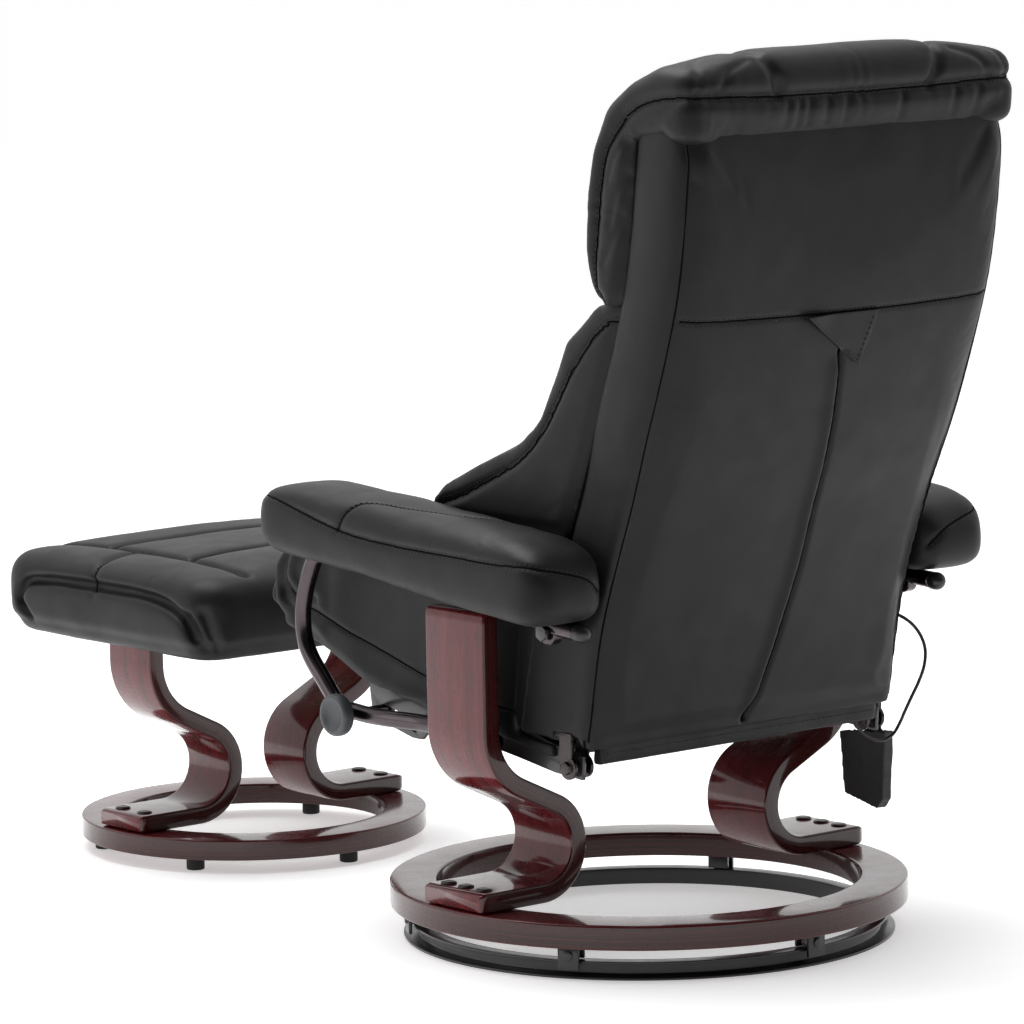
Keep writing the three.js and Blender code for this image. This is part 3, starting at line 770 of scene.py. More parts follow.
def wooden_ring(name, body, node, inner, edge):
    """A flat ring cut from plywood, with rounded edges, as large as its CAD node."""
    low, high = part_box(node)
    y = (low.y + high.y) / 2 - RING_Y
    outer = (high.x - low.x) / 2
    corners = [(inner, low.z), (outer, low.z), (outer, high.z), (inner, high.z)]
    profile = round_corners(corners, edge, 5)
    obj = lathe(name, profile, 220)
    store(obj, "grain", coordinates(obj.data))
    store(obj, "edge", 1 - ease(np.abs(normals_of(obj.data)[:, 2]), 0.3, 0.8))
    obj.data.transform(Matrix.Translation((0, y, 0)))
    place(obj, body, "lacquered_wood", node)


LEG = {"up": 0.2695, "foot": 0.1974, "r_foot": 0.0515, "lean": 25.4, "r_knee": 0.0739,
       "thick": 0.022, "width": 0.100, "end": 0.2895, "top": 0.398, "ring": 0.0643,
       "caps": (-0.03, 0, 0.03)}
STOOL_LEG = {"up": 0.174, "foot": 0.112, "r_foot": 0.054, "lean": 26.5, "r_knee": 0.0751,
             "thick": 0.021, "width": 0.084, "end": 0.204, "top": 0.2765, "ring": 0.0413,
             "caps": (-0.022, 0.022)}
CAP_FROM_END = 0.020                        # how far the screw caps sit from the end of a foot


def leg_line(leg):
    """Centre line (x, z) of an S-shaped leg: the foot, the lean, the knee and the post."""
    z_foot = leg["ring"] + leg["thick"] / 2
    foot = arc((leg["foot"], z_foot + leg["r_foot"]), leg["r_foot"], 270, 90 + leg["lean"], 48)
    slope = math.radians(leg["lean"])
    run = leg["up"] - foot[-1][0] - leg["r_knee"] * (1 - math.sin(slope))
    knee_z = foot[-1][1] + run * math.tan(slope) + leg["r_knee"] * math.cos(slope)
    knee = arc((leg["up"] - leg["r_knee"], knee_z), leg["r_knee"], leg["lean"] - 90, 0, 30)
    return [(leg["end"], z_foot), *foot, *knee, (leg["up"], leg["top"])]


def finely(line, step):
    """The same 2D line with points every step."""
    p = np.array(line)
    along = length_along(p)
    s = np.linspace(0, along[-1], int(along[-1] / step) + 1)
    return np.stack([np.interp(s, along, p[:, 0]), np.interp(s, along, p[:, 1])], 1), s


def bent_leg(name, leg, node, body, side, centre_y):
    """A bent plywood leg with eased edges, and the screw caps on its foot."""
    line, s = finely(leg_line(leg), 0.004)
    tangents = np.gradient(line, axis=0)
    tangents /= np.linalg.norm(tangents, axis=1)[:, None]
    half, deep = leg["width"] / 2, leg["thick"] / 2
    rings, grain, edges = [], [], []
    insets = [0.0022, 0.0007] + [0] * (len(line) - 4) + [0.0007, 0.0022]
    for (x, z), (tx, tz), where, inset in zip(line, tangents, s, insets):
        w, t = half - inset, deep - inset
        section = round_corners([(-w, -t), (w, -t), (w, t), (-w, t)], 0.0028, 4)
        rings.append([(side * (x - tz * b), a, z + tx * b) for a, b in section])
        grain += [(where, a, b) for a, b in section]
        edges += [float(abs(a) > half - 0.0012) for a, b in section]
    obj = loft(name, rings)
    store(obj, "grain", np.array(grain))
    store(obj, "edge", np.array(edges))
    obj.data.transform(Matrix.Translation((0, centre_y, 0)))
    place(obj, body, "lacquered_wood", node)
    dome = [(0.0001, 0), (0.0092, 0), (0.0092, 0.0012), (0.0084, 0.0022), (0.0060, 0.0029),
            (0.0001, 0.0032)]
    caps = []
    cap_x = side * (leg["end"] - CAP_FROM_END)
    top = leg["ring"] + leg["thick"]
    for y in leg["caps"]:
        cap = lathe(name + "_cap", dome, 40)
        cap.data.transform(Matrix.Translation((cap_x, centre_y + y, top - 0.0003)))
        caps.append(cap)
    place(join(name + "_screw_caps", *caps), body, "lacquered_wood", material="cap_plastic")


def x_rod(name, radius, x0, x1, y, z, count=36, edge=0.0006):
    """A round rod or disc along X with eased rims; six sides make a nut."""
    turn = 2 * math.pi / count
    rings = []
    inner = radius - edge
    for x, r in ((x0, inner), (x0 + edge, radius), (x1 - edge, radius), (x1, inner)):
        rings.append([(x, y + r * math.cos(turn * k), z + r * math.sin(turn * k))
                      for k in range(count)])
    obj = loft(name, rings)
    obj.data.set_sharp_from_angle(angle=math.radians(40))
    return obj


TUBE_X = 0.266
TUBE_LINE = [
    (TUBE_X, 0.192, 0.392), (TUBE_X, 0.160, 0.394), (TUBE_X, 0.049, 0.409), (TUBE_X, -0.060, 0.423),
    (TUBE_X, -0.170, 0.437), (TUBE_X, -0.225, 0.443), (TUBE_X, -0.256, 0.434), (TUBE_X, -0.274, 0.408),
    (TUBE_X, -0.288, 0.362), (TUBE_X, -0.282, 0.325), (TUBE_X, -0.250, 0.288), (TUBE_X, -0.222, 0.264),
    (0.264, -0.190, 0.2585), (0.260, -0.150, 0.257), (0.2483, -0.100, 0.256), (0.2463, -0.060, 0.2545),
    (0.2463, 0.030, 0.249)]
PIVOT = (0.148, 0.388)
HINGE = (0.1335, 0.232)
CLAMP = (-0.200, 0.258)
HINGE_PLATE_TOP = 0.271


def side_tube():
    """The bent tube of the left side, with its pivot eye and the clamp screw."""
    tube = sweep("tube", smooth_line(TUBE_LINE, 0.003), circle(0.0095, 28))
    eye = x_rod("eye", 0.014, TUBE_X - 0.007, TUBE_X + 0.007, *PIVOT, edge=0.0015)
    screw = x_rod("screw", 0.004, 0.209, 0.286, *CLAMP)
    nut = x_rod("nut", 0.008, 0.209, 0.216, *CLAMP, count=6)
    left = join("side_tube_bent_left", tube, eye, screw, nut)
    right = mirrored(left, "side_tube_bent_right")
    place(left, "swivel_frame", "gunmetal_tube", "side_tube_left")
    place(right, "swivel_frame", "gunmetal_tube", "side_tube_right")


def tube_plug():
    """The rounded plug in the rear end of the left tube."""
    profile = [(0.0001, 0), (0.0100, 0), (0.0102, 0.0015), (0.0102, 0.0060)]
    profile += [(0.0102 * math.cos(t), 0.0060 + 0.0108 * math.sin(t))
                for t in np.radians(range(10, 90, 10))]
    profile += [(0.0001, 0.0168)]
    left = lathe("tube_plug_left", profile, 48)
    left.data.transform(Matrix.Rotation(-math.pi / 2, 4, "X"))
    _, y, z = TUBE_LINE[0]
    left.data.transform(Matrix.Translation((TUBE_X, y + 0.001, z - 0.0005)))
    right = mirrored(left, "tube_plug_right")
    place(left, "swivel_frame", "black_plastic", "tube_end_left")
    place(right, "swivel_frame", "black_plastic", "tube_end_right")


def floor_channel():
    """The rolled steel channel on the floor, open outwards."""
    profile = round_corners([
        (0.254, 0), (0.280, 0), (0.280, 0.003), (0.263, 0.004), (0.263, 0.016), (0.272, 0.016),
        (0.272, 0.019), (0.254, 0.019)], 0.0009, 3)
    place(lathe("floor_channel", profile, 220), "floor_ring", "black_steel", "floor_ring")


def dished_wheel():
    """The hand wheel on the clamp screw: a rounded rim round a dished face."""
    profile = [
        (0.0043, 0), (0.0085, 0), (0.0095, 0.0008), (0.0100, 0.0030), (0.0195, 0.0042), (0.0225, 0.0055),
        (0.0240, 0.0085), (0.0242, 0.0130), (0.0238, 0.0168), (0.0222, 0.0192), (0.0200, 0.0200),
        (0.0180, 0.0196), (0.0160, 0.0182), (0.0125, 0.0158), (0.0080, 0.0142), (0.0040, 0.0136),
        (0.0001, 0.0134), (0.0001, 0.0100), (0.0043, 0.0100)]
    profile = [tuple(p) for p in smooth_line([(r, z, 0) for r, z in profile], 0.0012)[:, :2]]
    obj = lathe("dished_wheel", profile, 96)
    obj.data.transform(Matrix.Rotation(math.pi / 2, 4, "Y"))
    obj.data.transform(Matrix.Translation((0.277, *CLAMP)))
    place(obj, "hand_wheel", "grey_plastic", "hand_wheel")


def refined(node, name, body, slot, edge):
    """A small hard part with its shape from the CAD node and its edges eased."""
    return place(bevelled(from_node(name, node), edge), body, slot, node)


def hard_parts():
    """Everything made of wood, steel and plastic."""
    wooden_ring("swivel_ring", "swivel_frame", "wood_ring", 0.2415, 0.0028)
    wooden_ring("footstool_ring", "footstool", "stool_ring", 0.163, 0.0022)
    for word, side in (("left", 1), ("right", -1)):
        bent_leg(f"bent_leg_{word}", LEG, f"leg_{word}", "swivel_frame", side, 0)
        bent_leg(f"bent_stool_leg_{word}", STOOL_LEG, f"stool_leg_{word}", "footstool", side,
                 STOOL_Y)
        plate_finish(refined(f"back_upright_{word}", f"back_frame_{word}", "back", "black_steel",
                             0.0005))
        refined(f"seat_rail_{word}", f"slotted_rail_{word}", "seat", "black_steel", 0.0005)
    floor_channel()
    side_tube()
    tube_plug()
    dished_wheel()
    for i in range(1, 7):
        refined(f"ring_bracket_{i}", f"bracket_{i}", "swivel_frame", "black_steel", 0.0006)
        refined(f"roller_{i}", f"nylon_roller_{i}", f"roller_{i}", "roller_plastic", 0.0006)
        refined(f"stool_foot_{i}", f"rubber_foot_{i}", "footstool", "foot_rubber", 0.0015)
    inner = dict.fromkeys(("back_crossbar_low", "back_crossbar_high", "seat_bar_front",
                           "seat_bar_rear"), "black_steel")
    inner.update(stool_board="plywood", control_box="black_plastic", hand_control="black_plastic")
    for word in ("lumbar", "shoulder", "seat"):
        inner[f"motor_{word}"] = inner[f"motor_weight_{word}"] = "zinc"
    for node, slot in inner.items():
        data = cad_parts[node].data
        data.materials.clear()
        data.materials.append(MATERIALS[slot])
        data.set_sharp_from_angle(angle=math.radians(40))


def plate_finish(obj):
    """Bare plated steel on the hinge plates and pin heads of a back upright."""
    obj.data.materials.append(MATERIALS["hinge_steel"])
    for face in obj.data.polygons:
        x, y, z = face.center
        y -= RING_Y
        pin_head = math.hypot(y - HINGE[0], z - HINGE[1]) < 0.0085 and abs(x) > HALF - 0.0008
        if pin_head or z < HINGE_PLATE_TOP:
            face.material_index = 1


hard_parts()


# ---- the control lead
LEAD_LINE = [
    (-0.236, 0.118, 0.352), (-0.244, 0.128, 0.353), (-0.257, 0.140, 0.349), (-0.269, 0.152, 0.339),
    (-0.277, 0.160, 0.325), (-0.280, 0.165, 0.309), (-0.277, 0.167, 0.291), (-0.270, 0.165, 0.272),
    (-0.261, 0.161, 0.253), (-0.254, 0.158, 0.238), (-0.248, 0.155, 0.224), (-0.240, 0.153, 0.213),
    (-0.228, 0.150, 0.207), (-0.214, 0.147, 0.209), (-0.202, 0.144, 0.217), (-0.192, 0.142, 0.230),
    (-0.186, 0.141, 0.250)]


def control_lead():
    """The thin lead that loops out of the back's right side and in again under the back."""
    route = smooth_line(LEAD_LINE, 0.002) + np.array((0, RING_Y, 0))
    curve = bpy.data.curves.new("lead", "CURVE")
    curve.dimensions = "3D"
    curve.bevel_depth = 0.0019
    curve.bevel_resolution = 5
    curve.use_fill_caps = True
    spline = curve.splines.new("POLY")
    spline.points.add(len(route) - 1)
    for point, co in zip(spline.points, route):
        point.co = (*co, 1)
    curve.materials.append(MATERIALS["lead_sheath"])
    lead = bpy.data.objects.new("lead", curve)
    scene.collection.objects.link(lead)
    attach(lead, "swivel_frame")
    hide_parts("control_lead")


control_lead()


# ---- shape of the back
REAR_POINTS = [(0.162, 0.250), (0.187, 0.378), (0.213, 0.455), (0.265, 0.584), (0.304, 0.690),
               (0.325, 0.760), (0.339, 0.843), (0.347, 0.931)]
REAR = smooth_line([(0, y, z) for y, z in REAR_POINTS], 0.003)[:, 1:]
REAR_TANGENT = np.gradient(REAR, axis=0)
REAR_TANGENT /= np.linalg.norm(REAR_TANGENT, axis=1)[:, None]


def behind(x, depth, z):
    """A point at height z of the rear curve, moved out by depth along the curve's normal."""
    y = np.interp(z, REAR[:, 1], REAR[:, 0])
    ty = np.interp(z, REAR[:, 1], REAR_TANGENT[:, 0])
    tz = np.interp(z, REAR[:, 1], REAR_TANGENT[:, 1])
    return (float(x), float(y + depth * tz), float(z - depth * ty))


def corner_of(z):
    """(half width, corner radius, outward crown) of the back's section at height z."""
    full = float(ease(z, 0.50, 0.62) * (1 - 0.3 * ease(z, 0.86, 0.925)))
    top = float(ease(z, 0.895, 0.94))
    return HALF + 0.010 * full, 0.022 + 0.018 * full, 0.004 + 0.005 * full - 0.010 * top


def corner_points(z, first, last, sink):
    """The rear corner (x, depth) between two angles, sinking inwards past the seam at 45."""
    half, radius, crown = corner_of(z)
    out = []
    for t in np.linspace(first, last, 9):
        past = max(0.0, (t - 45) * (1 if last < first else -1)) / 15
        r = radius - sink * past
        a = math.radians(t)
        out.append((half - radius + r * math.cos(a), crown - radius + r * math.sin(a)))
    return out


def back_cover():
    """The rear skin of the back, from seam to seam round both rear corners."""
    rings = []
    for z in np.arange(0.2535, 0.9445, 0.008):
        half, radius, crown = corner_of(z)
        swell = 0.011 * math.sin(math.pi * np.clip((z - 0.25) / 0.62, 0, 1)) ** 0.8
        outline = corner_points(z, 30, 90, 0.004)
        left = outline[:]
        reach = half - radius
        for x in np.linspace(reach, -reach, 25)[1:-1]:
            outline.append((x, crown + swell * (1 - (x / reach) ** 2)))
        outline += [(-x, d) for x, d in left[::-1]]
        outline += [(-half + 0.030, -0.020), (half - 0.030, -0.020)]
        rings.append([behind(x, d, z) for x, d in outline])
    return loft("back_cover", rings)


def bolster():
    """The left side of the back: a padded strip from the rear seam round to the front cushions."""
    rings = []
    for z in np.arange(0.262, 0.940, 0.008):
        half = corner_of(z)[0]
        outline = corner_points(z, 62, 0, 0.004)
        outline += [(half - 0.0005, -0.056), (half - 0.003, -0.074), (half - 0.012, -0.086),
                    (0.204, -0.087), (0.198, -0.070), (0.198, -0.034), (0.205, -0.024)]
        rings.append([behind(x, d, z) for x, d in outline])
    flare = [(0.050, 0.262), (0.125, 0.259), (0.150, 0.470), (0.098, 0.470), (0.083, 0.416),
             (0.077, 0.385)]
    return join("bolster", loft("strip", rings), prism("flare", flare, 0.200, HALF - 0.0005))


# ---- seams: points, and the way they are thrown
def both(points):
    """The points and their mirror image on the other side."""
    return [points, [(-x, y, z) for x, y, z in points]]


def at_x(x, *points):
    """(y, z) points in the plane at x."""
    return [(x, y, z) for y, z in points]


def across(points):
    """A line on the left continued to the right by its mirror image."""
    return points + [(-x, y, z) for x, y, z in points[::-1]]


HEAD_SEAMS = {
    "valley": both([(0.118, 0.20, 0.752), (0.120, 0.178, 0.80), (0.124, 0.185, 0.87),
                    (0.130, 0.21, 0.935), (0.136, 0.25, 0.985), (0.138, 0.29, 1.00),
                    (0.128, 0.33, 0.998), (0.112, 0.352, 0.970)]),
    "gusset": [across([(0.241, 0.254, 0.948), (0.241, 0.275, 0.959), (0.241, 0.300, 0.966),
                       (0.239, 0.335, 0.970), (0.225, 0.349, 0.970), (0.11, 0.352, 0.966),
                       (0.02, 0.352, 0.965)])],
    "wrinkle": [[(x, 0.360, 0.962), (x + 0.004, 0.362, 0.948), (x + 0.002, 0.360, 0.930)]
                for x in (0.098, 0.081, 0.066, 0.040, 0.012, -0.070, -0.150, -0.185)]
    + both([(0.248, 0.262, 0.925), (0.250, 0.238, 0.905), (0.248, 0.226, 0.880)])
    + both([(0.248, 0.262, 0.885), (0.250, 0.240, 0.862), (0.248, 0.228, 0.830)])
    + both([(0.248, 0.250, 0.840), (0.250, 0.230, 0.812), (0.248, 0.215, 0.790)])
    + both([(0.150, 0.340, 1.000), (0.180, 0.346, 0.992), (0.200, 0.350, 0.975)])
    + both([(0.190, 0.310, 1.004), (0.212, 0.330, 0.992), (0.226, 0.345, 0.975)]),
    "side": both(at_x(0.240, (0.252, 0.945), (0.222, 0.910), (0.211, 0.871), (0.204, 0.829),
                      (0.198, 0.783)) + [(0.238, 0.200, 0.758), (0.225, 0.215, 0.746)]),
}
LUMBAR_SEAMS = {
    "channel": both(at_x(0.088, (0.06, 0.50), (0.07, 0.56), (0.10, 0.63), (0.14, 0.70),
                         (0.18, 0.735))),
    "wing_root": both([(0.168, 0.07, 0.505), (0.170, 0.075, 0.56), (0.172, 0.10, 0.625),
                       (0.176, 0.14, 0.70), (0.180, 0.18, 0.736)]),
    "cross": [[(x, y, z) for x in (0.088, 0, -0.088)] for y, z in ((0.066, 0.555), (0.106, 0.645))],
    "wing_edge": both(at_x(0.244, (0.244, 0.728), (0.206, 0.720), (0.158, 0.675), (0.116, 0.620),
                           (0.070, 0.573), (0.006, 0.538))
                      + [(0.242, -0.045, 0.515), (0.238, -0.078, 0.505)]),
}
SEAT_TOP = ((0.05, 0.43), (-0.05, 0.435), (-0.15, 0.44), (-0.27, 0.44), (-0.335, 0.42),
            (-0.358, 0.375), (-0.340, 0.330))
SEAT_SEAMS = {
    "channel": both(at_x(0.088, *SEAT_TOP)),
    "border": both(at_x(0.178, *SEAT_TOP)),
    "cross": [[(0.178, -0.262, 0.44), (0, -0.262, 0.44), (-0.178, -0.262, 0.44)]],
    "fold": both([(0.238, -0.392, 0.405), (0.246, -0.380, 0.372), (0.244, -0.386, 0.335)])
            + both([(0.236, -0.352, 0.425), (0.244, -0.358, 0.385), (0.244, -0.340, 0.345)])
            + both([(0.236, -0.322, 0.430), (0.242, -0.334, 0.398), (0.242, -0.306, 0.372)]),
    "side": both(at_x(0.235, (-0.352, 0.380), (-0.330, 0.366), (-0.296, 0.356), (-0.250, 0.341),
                      (-0.209, 0.331), (-0.159, 0.318), (-0.100, 0.303), (-0.030, 0.291),
                      (0.045, 0.284))),
}
ARM_SEAMS = {
    "outer": [[(0.262, -0.290, 0.505), (0.304, -0.290, 0.510), (0.331, -0.277, 0.513),
               (0.342, -0.257, 0.512), (0.343, -0.207, 0.499), (0.343, -0.150, 0.486),
               (0.343, -0.105, 0.478), (0.343, -0.036, 0.473), (0.343, 0.082, 0.470),
               (0.343, 0.165, 0.470), (0.333, 0.204, 0.474), (0.304, 0.216, 0.470),
               (0.270, 0.216, 0.455), (0.245, 0.208, 0.435)]],
    "turn": [[(0.343, -0.126, 0.480), (0.334, -0.112, 0.497), (0.318, -0.086, 0.511),
              (0.310, -0.055, 0.511), (0.300, -0.020, 0.509), (0.285, 0.020, 0.506),
              (0.262, 0.060, 0.503), (0.240, 0.090, 0.490)]],
    "inner": [[(0.262, -0.290, 0.505), (0.236, -0.262, 0.500), (0.233, -0.207, 0.499),
               (0.233, -0.105, 0.488), (0.233, 0.000, 0.480), (0.233, 0.120, 0.474)]],
}
PAD_HALF_X, PAD_HALF_Y = 0.240, 0.208
PAD_TOP = 0.372


def on_pad(points):
    """Points given from the middle of the stool's cushion."""
    return [(x, PAD_Y + y, z) for x, y, z in points]


STOOL_SEAMS = {
    "border": both([(0.172, -0.200, PAD_TOP - 0.03), (0.160, -0.165, PAD_TOP), (0.155, -0.08, PAD_TOP),
                    (0.155, 0.06, PAD_TOP), (0.158, 0.140, PAD_TOP), (0.161, 0.184, PAD_TOP - 0.006)]),
    "cross": [[(0.156, y, PAD_TOP), (0.05, mid, PAD_TOP), (-0.05, mid, PAD_TOP), (-0.156, y, PAD_TOP)]
              for y, mid in ((0.066, 0.060), (-0.095, -0.088))],
    "tee": both([(0.158, -0.030, PAD_TOP), (0.190, -0.028, PAD_TOP), (0.215, -0.020, PAD_TOP - 0.01),
                 (0.238, -0.010, PAD_TOP - 0.03)]),
    "gather": both([(0.238, 0.176, 0.326), (0.240, 0.192, 0.300), (0.236, 0.200, 0.276)])
              + both([(0.232, 0.196, 0.330), (0.228, 0.206, 0.305), (0.220, 0.208, 0.280)]),
    "lip": both(at_x(0.241, (-0.148, 0.294), (-0.164, 0.316), (-0.150, 0.336), (-0.110, 0.343),
                     (0.000, 0.346), (0.104, 0.344), (0.150, 0.334), (0.176, 0.318))
                + [(0.240, 0.190, 0.294)]),
}
STOOL_SEAMS = {name: [on_pad(line) for line in lines] for name, lines in STOOL_SEAMS.items()}


def seam_lines(obj, seams):
    """Every seam of a cushion, thrown on its skin."""
    return {name: [cast(obj, line) for line in lines] for name, lines in seams.items()}


def held(ground, obj_seams, width=0.010):
    """A weight for each vertex: 1 on the ground and along the seams, 0 where it may swell."""
    def weights(co):
        out = ground(co)
        for name, lines in obj_seams.items():
            for line in lines if name not in ("fold", "gather", "wrinkle") else ():
                near, _ = distances(co, smooth_line(line, 0.004))
                out = np.maximum(out, np.exp(-((near / width) ** 2)))
        return out
    return weights


# ---- the cushions before they swell
def rear_depth(co):
    """How far each point lies in front of the rear curve."""
    y = np.interp(co[:, 2], REAR[:, 1], REAR[:, 0])
    tz = np.interp(co[:, 2], REAR[:, 1], REAR_TANGENT[:, 1])
    return (y - co[:, 1]) * tz


def head_ground(co):
    """The head cushion is held where it lies on the back's frame."""
    on_frame = (1 - ease(rear_depth(co), 0.086, 0.100)) * (co[:, 2] < 0.925)
    return np.maximum(on_frame, (co[:, 2] < 0.752) * 0.6)


def lumbar_ground(co):
    on_frame = (1 - ease(rear_depth(co), 0.086, 0.100)) * (co[:, 2] > 0.44)
    wing_foot = (np.abs(co[:, 0]) > 0.19) * (1 - ease(co[:, 2], 0.494, 0.504))
    return np.maximum(np.maximum(on_frame, wing_foot), co[:, 2] < 0.455)


def seat_ground(co):
    """The seat is held underneath, behind and at its sides, and swells on top and in front."""
    under = np.interp(co[:, 1], [-0.345, -0.304, -0.222, -0.08, 0.05],
                      [0.345, 0.325, 0.29, 0.272, 0.255])
    low = 1 - ease(co[:, 2], under, under + 0.025)
    rear = ease(co[:, 1], 0.02, 0.06)
    side = 0.85 * ease(np.abs(co[:, 0]), 0.222, 0.231) * ease(co[:, 1], -0.31, -0.28)
    return np.maximum(np.maximum(low, rear), side)


def arm_ground(co):
    under = np.interp(co[:, 1], [-0.28, -0.212, 0.022, 0.12, 0.215],
                      [0.452, 0.44, 0.417, 0.408, 0.405])
    inner = 0.8 * (1 - ease(co[:, 0], 0.236, 0.246))
    return np.maximum(1 - ease(co[:, 2], under, under + 0.02), inner)


def stool_ground(co):
    return 1 - ease(co[:, 2], 0.286, 0.300)


def skin_ground(co):
    """The back's skin is held on its inside and at its ends."""
    inside = ease(rear_depth(co), 0.004, 0.012)
    ends = np.maximum(1 - ease(co[:, 2], 0.258, 0.275), ease(co[:, 2], 0.915, 0.928))
    return np.maximum(inside, ends)


def bolster_ground(co):
    depth = rear_depth(co)
    inner = 1 - ease(co[:, 0], 0.216, 0.228)
    low = 1 - ease(co[:, 2], 0.50, 0.56)
    seam = 1 - ease(depth, 0.006, 0.016)
    return np.maximum(np.maximum(inner, seam), np.maximum(low, ease(depth, 0.066, 0.076)))


def shaped_head():
    """The head cushion, wider at the top and reaching down over the top of the back's skin."""
    obj = voxelised(from_node("head", "head_cushion"), FINE_VOXEL)
    co = coordinates(obj.data)
    co[:, 0] *= 1 + 0.010 * ease(co[:, 2], 0.80, 0.93)
    rear = ease(co[:, 1], 0.31, 0.335) * (1 - ease(co[:, 2], 0.945, 0.96))
    co[:, 2] -= 0.005 * rear
    co[:, 1] += 0.004 * ease(co[:, 1], 0.31, 0.335)
    side = ease(np.abs(co[:, 0]), 0.12, 0.235)
    co[:, 2] -= 0.010 * side**2 * ease(co[:, 2], 0.95, 1.0)
    co[:, 2] += 0.003 * (1 - ease(np.abs(co[:, 0]), 0.11, 0.14)) * ease(co[:, 2], 0.95, 1.0)
    co[:, 2] -= 0.006 * (1 - ease(co[:, 2], 0.744, 0.80))
    set_coordinates(obj.data, co)
    return obj


def shaped_lumbar():
    """The lumbar cushion with full wings, whose noses rest over the inner edges of the armrests."""
    wing = [(-0.090, 0.510), (-0.074, 0.524), (-0.012, 0.552), (0.051, 0.578), (0.077, 0.597),
            (0.120, 0.638), (0.146, 0.671), (0.171, 0.702), (0.208, 0.747), (0.243, 0.747),
            (0.205, 0.660), (0.150, 0.560), (0.133, 0.484), (0.060, 0.487), (-0.020, 0.489),
            (-0.076, 0.492), (-0.092, 0.499)]
    parts = [from_node("lumbar", "lumbar_cushion")]
    parts += [prism("wing", wing, x0, x1) for x0, x1 in ((0.168, 0.2335), (-0.2335, -0.168))]
    return join("lumbar", *parts)


def shaped_seat():
    """The seat with its front roll pushed forward."""
    obj = voxelised(from_node("seat", "seat_cushion"), FINE_VOXEL)
    co = coordinates(obj.data)
    front = ease(-co[:, 1], 0.29, 0.35)
    co[:, 1] -= 0.024 * front
    co[:, 0] *= 1 + 0.012 * front
    set_coordinates(obj.data, co)
    return obj


def shaped_stool():
    """The stool's cushion, wrapped down round the edge of its board."""
    obj = voxelised(from_node("stool", "stool_cushion"), FINE_VOXEL)
    co = coordinates(obj.data)
    co[:, 2] -= 0.013 * (1 - ease(co[:, 2], 0.285, 0.325))
    crown = (1 - (co[:, 0] / PAD_HALF_X) ** 2) * (1 - ((co[:, 1] - PAD_Y) / PAD_HALF_Y) ** 2)
    co[:, 2] += ease(co[:, 2], 0.33, 0.36) * (0.011 * crown - 0.003)
    set_coordinates(obj.data, co)
    return obj


def make_cushions():
    """All the padded pieces, swollen together by one run of the cloth."""
    soft("head", shaped_head(), held(head_ground, HEAD_SEAMS, 0.007), 0.024, 0.002, 12,
         fuller=0.007)
    soft("lumbar", shaped_lumbar(), held(lumbar_ground, LUMBAR_SEAMS, 0.007), 0.020, 0.001,
         pressure=5, fuller=0.003)
    soft("seat", shaped_seat(), held(seat_ground, SEAT_SEAMS), 0.026, 0.002,
         pressure=5, fuller=0.008)
    soft("arm", from_node("arm", "armrest_left"), held(arm_ground, ARM_SEAMS, 0.004), 0.014, 0.000,
         40, pressure=5, fuller=0.002)
    soft("stool", shaped_stool(), held(stool_ground, STOOL_SEAMS, 0.007), 0.028, 0.002,
         pressure=6, fuller=0.006)
    soft("back", back_cover(), skin_ground, 0.005, 0.0, 1, pressure=1.5)
    soft("bolster", bolster(), bolster_ground, 0.005, 0.0, 2, pressure=2)
    run_cloth()


make_cushions()


# ---- sewing the cushions
def finish_cushion(obj, seams, body, slot_nodes, rows, settings, seed):
    """Presses the seams in, roughens the skin, sews it and puts the cushion in place."""
    lines = seam_lines(obj, seams)
    for name, several in lines.items():
        for k, line in enumerate(several):
            crease(obj, line, seed=seed + 3.1 * k, **settings.get(name, {}))
    undulate(obj, 0.0009, 9, seed)
    undulate(obj, 0.0005, 26, seed + 5)
    sewn = [(line, rows[name]) for name, several in lines.items() if name in rows
            for line in several]
    if sewn:
        sew(obj, body, sewn)
    place(obj, body, "black_leather", *slot_nodes)


# dark in each look is the strength of the painted shade in that kind of seam or fold.
SEAM_LOOK = {"depth": 0.0040, "width": 0.0050, "pucker": 0.0002, "wave": 0.027, "reach": 0.016,
             "dark": 0.25}
SMALL_SEAM = {"depth": 0.0014, "width": 0.0034, "dark": 0.12}
GATHERED = {"depth": 0.0016, "width": 0.0036, "pucker": 0.0007, "wave": 0.023, "reach": 0.020,
            "dark": 0.2}
WRINKLE = {"depth": 0.0020, "width": 0.0050, "dark": 0.1}
FOLD = {"depth": 0.0060, "width": 0.0075, "dark": 0.25}


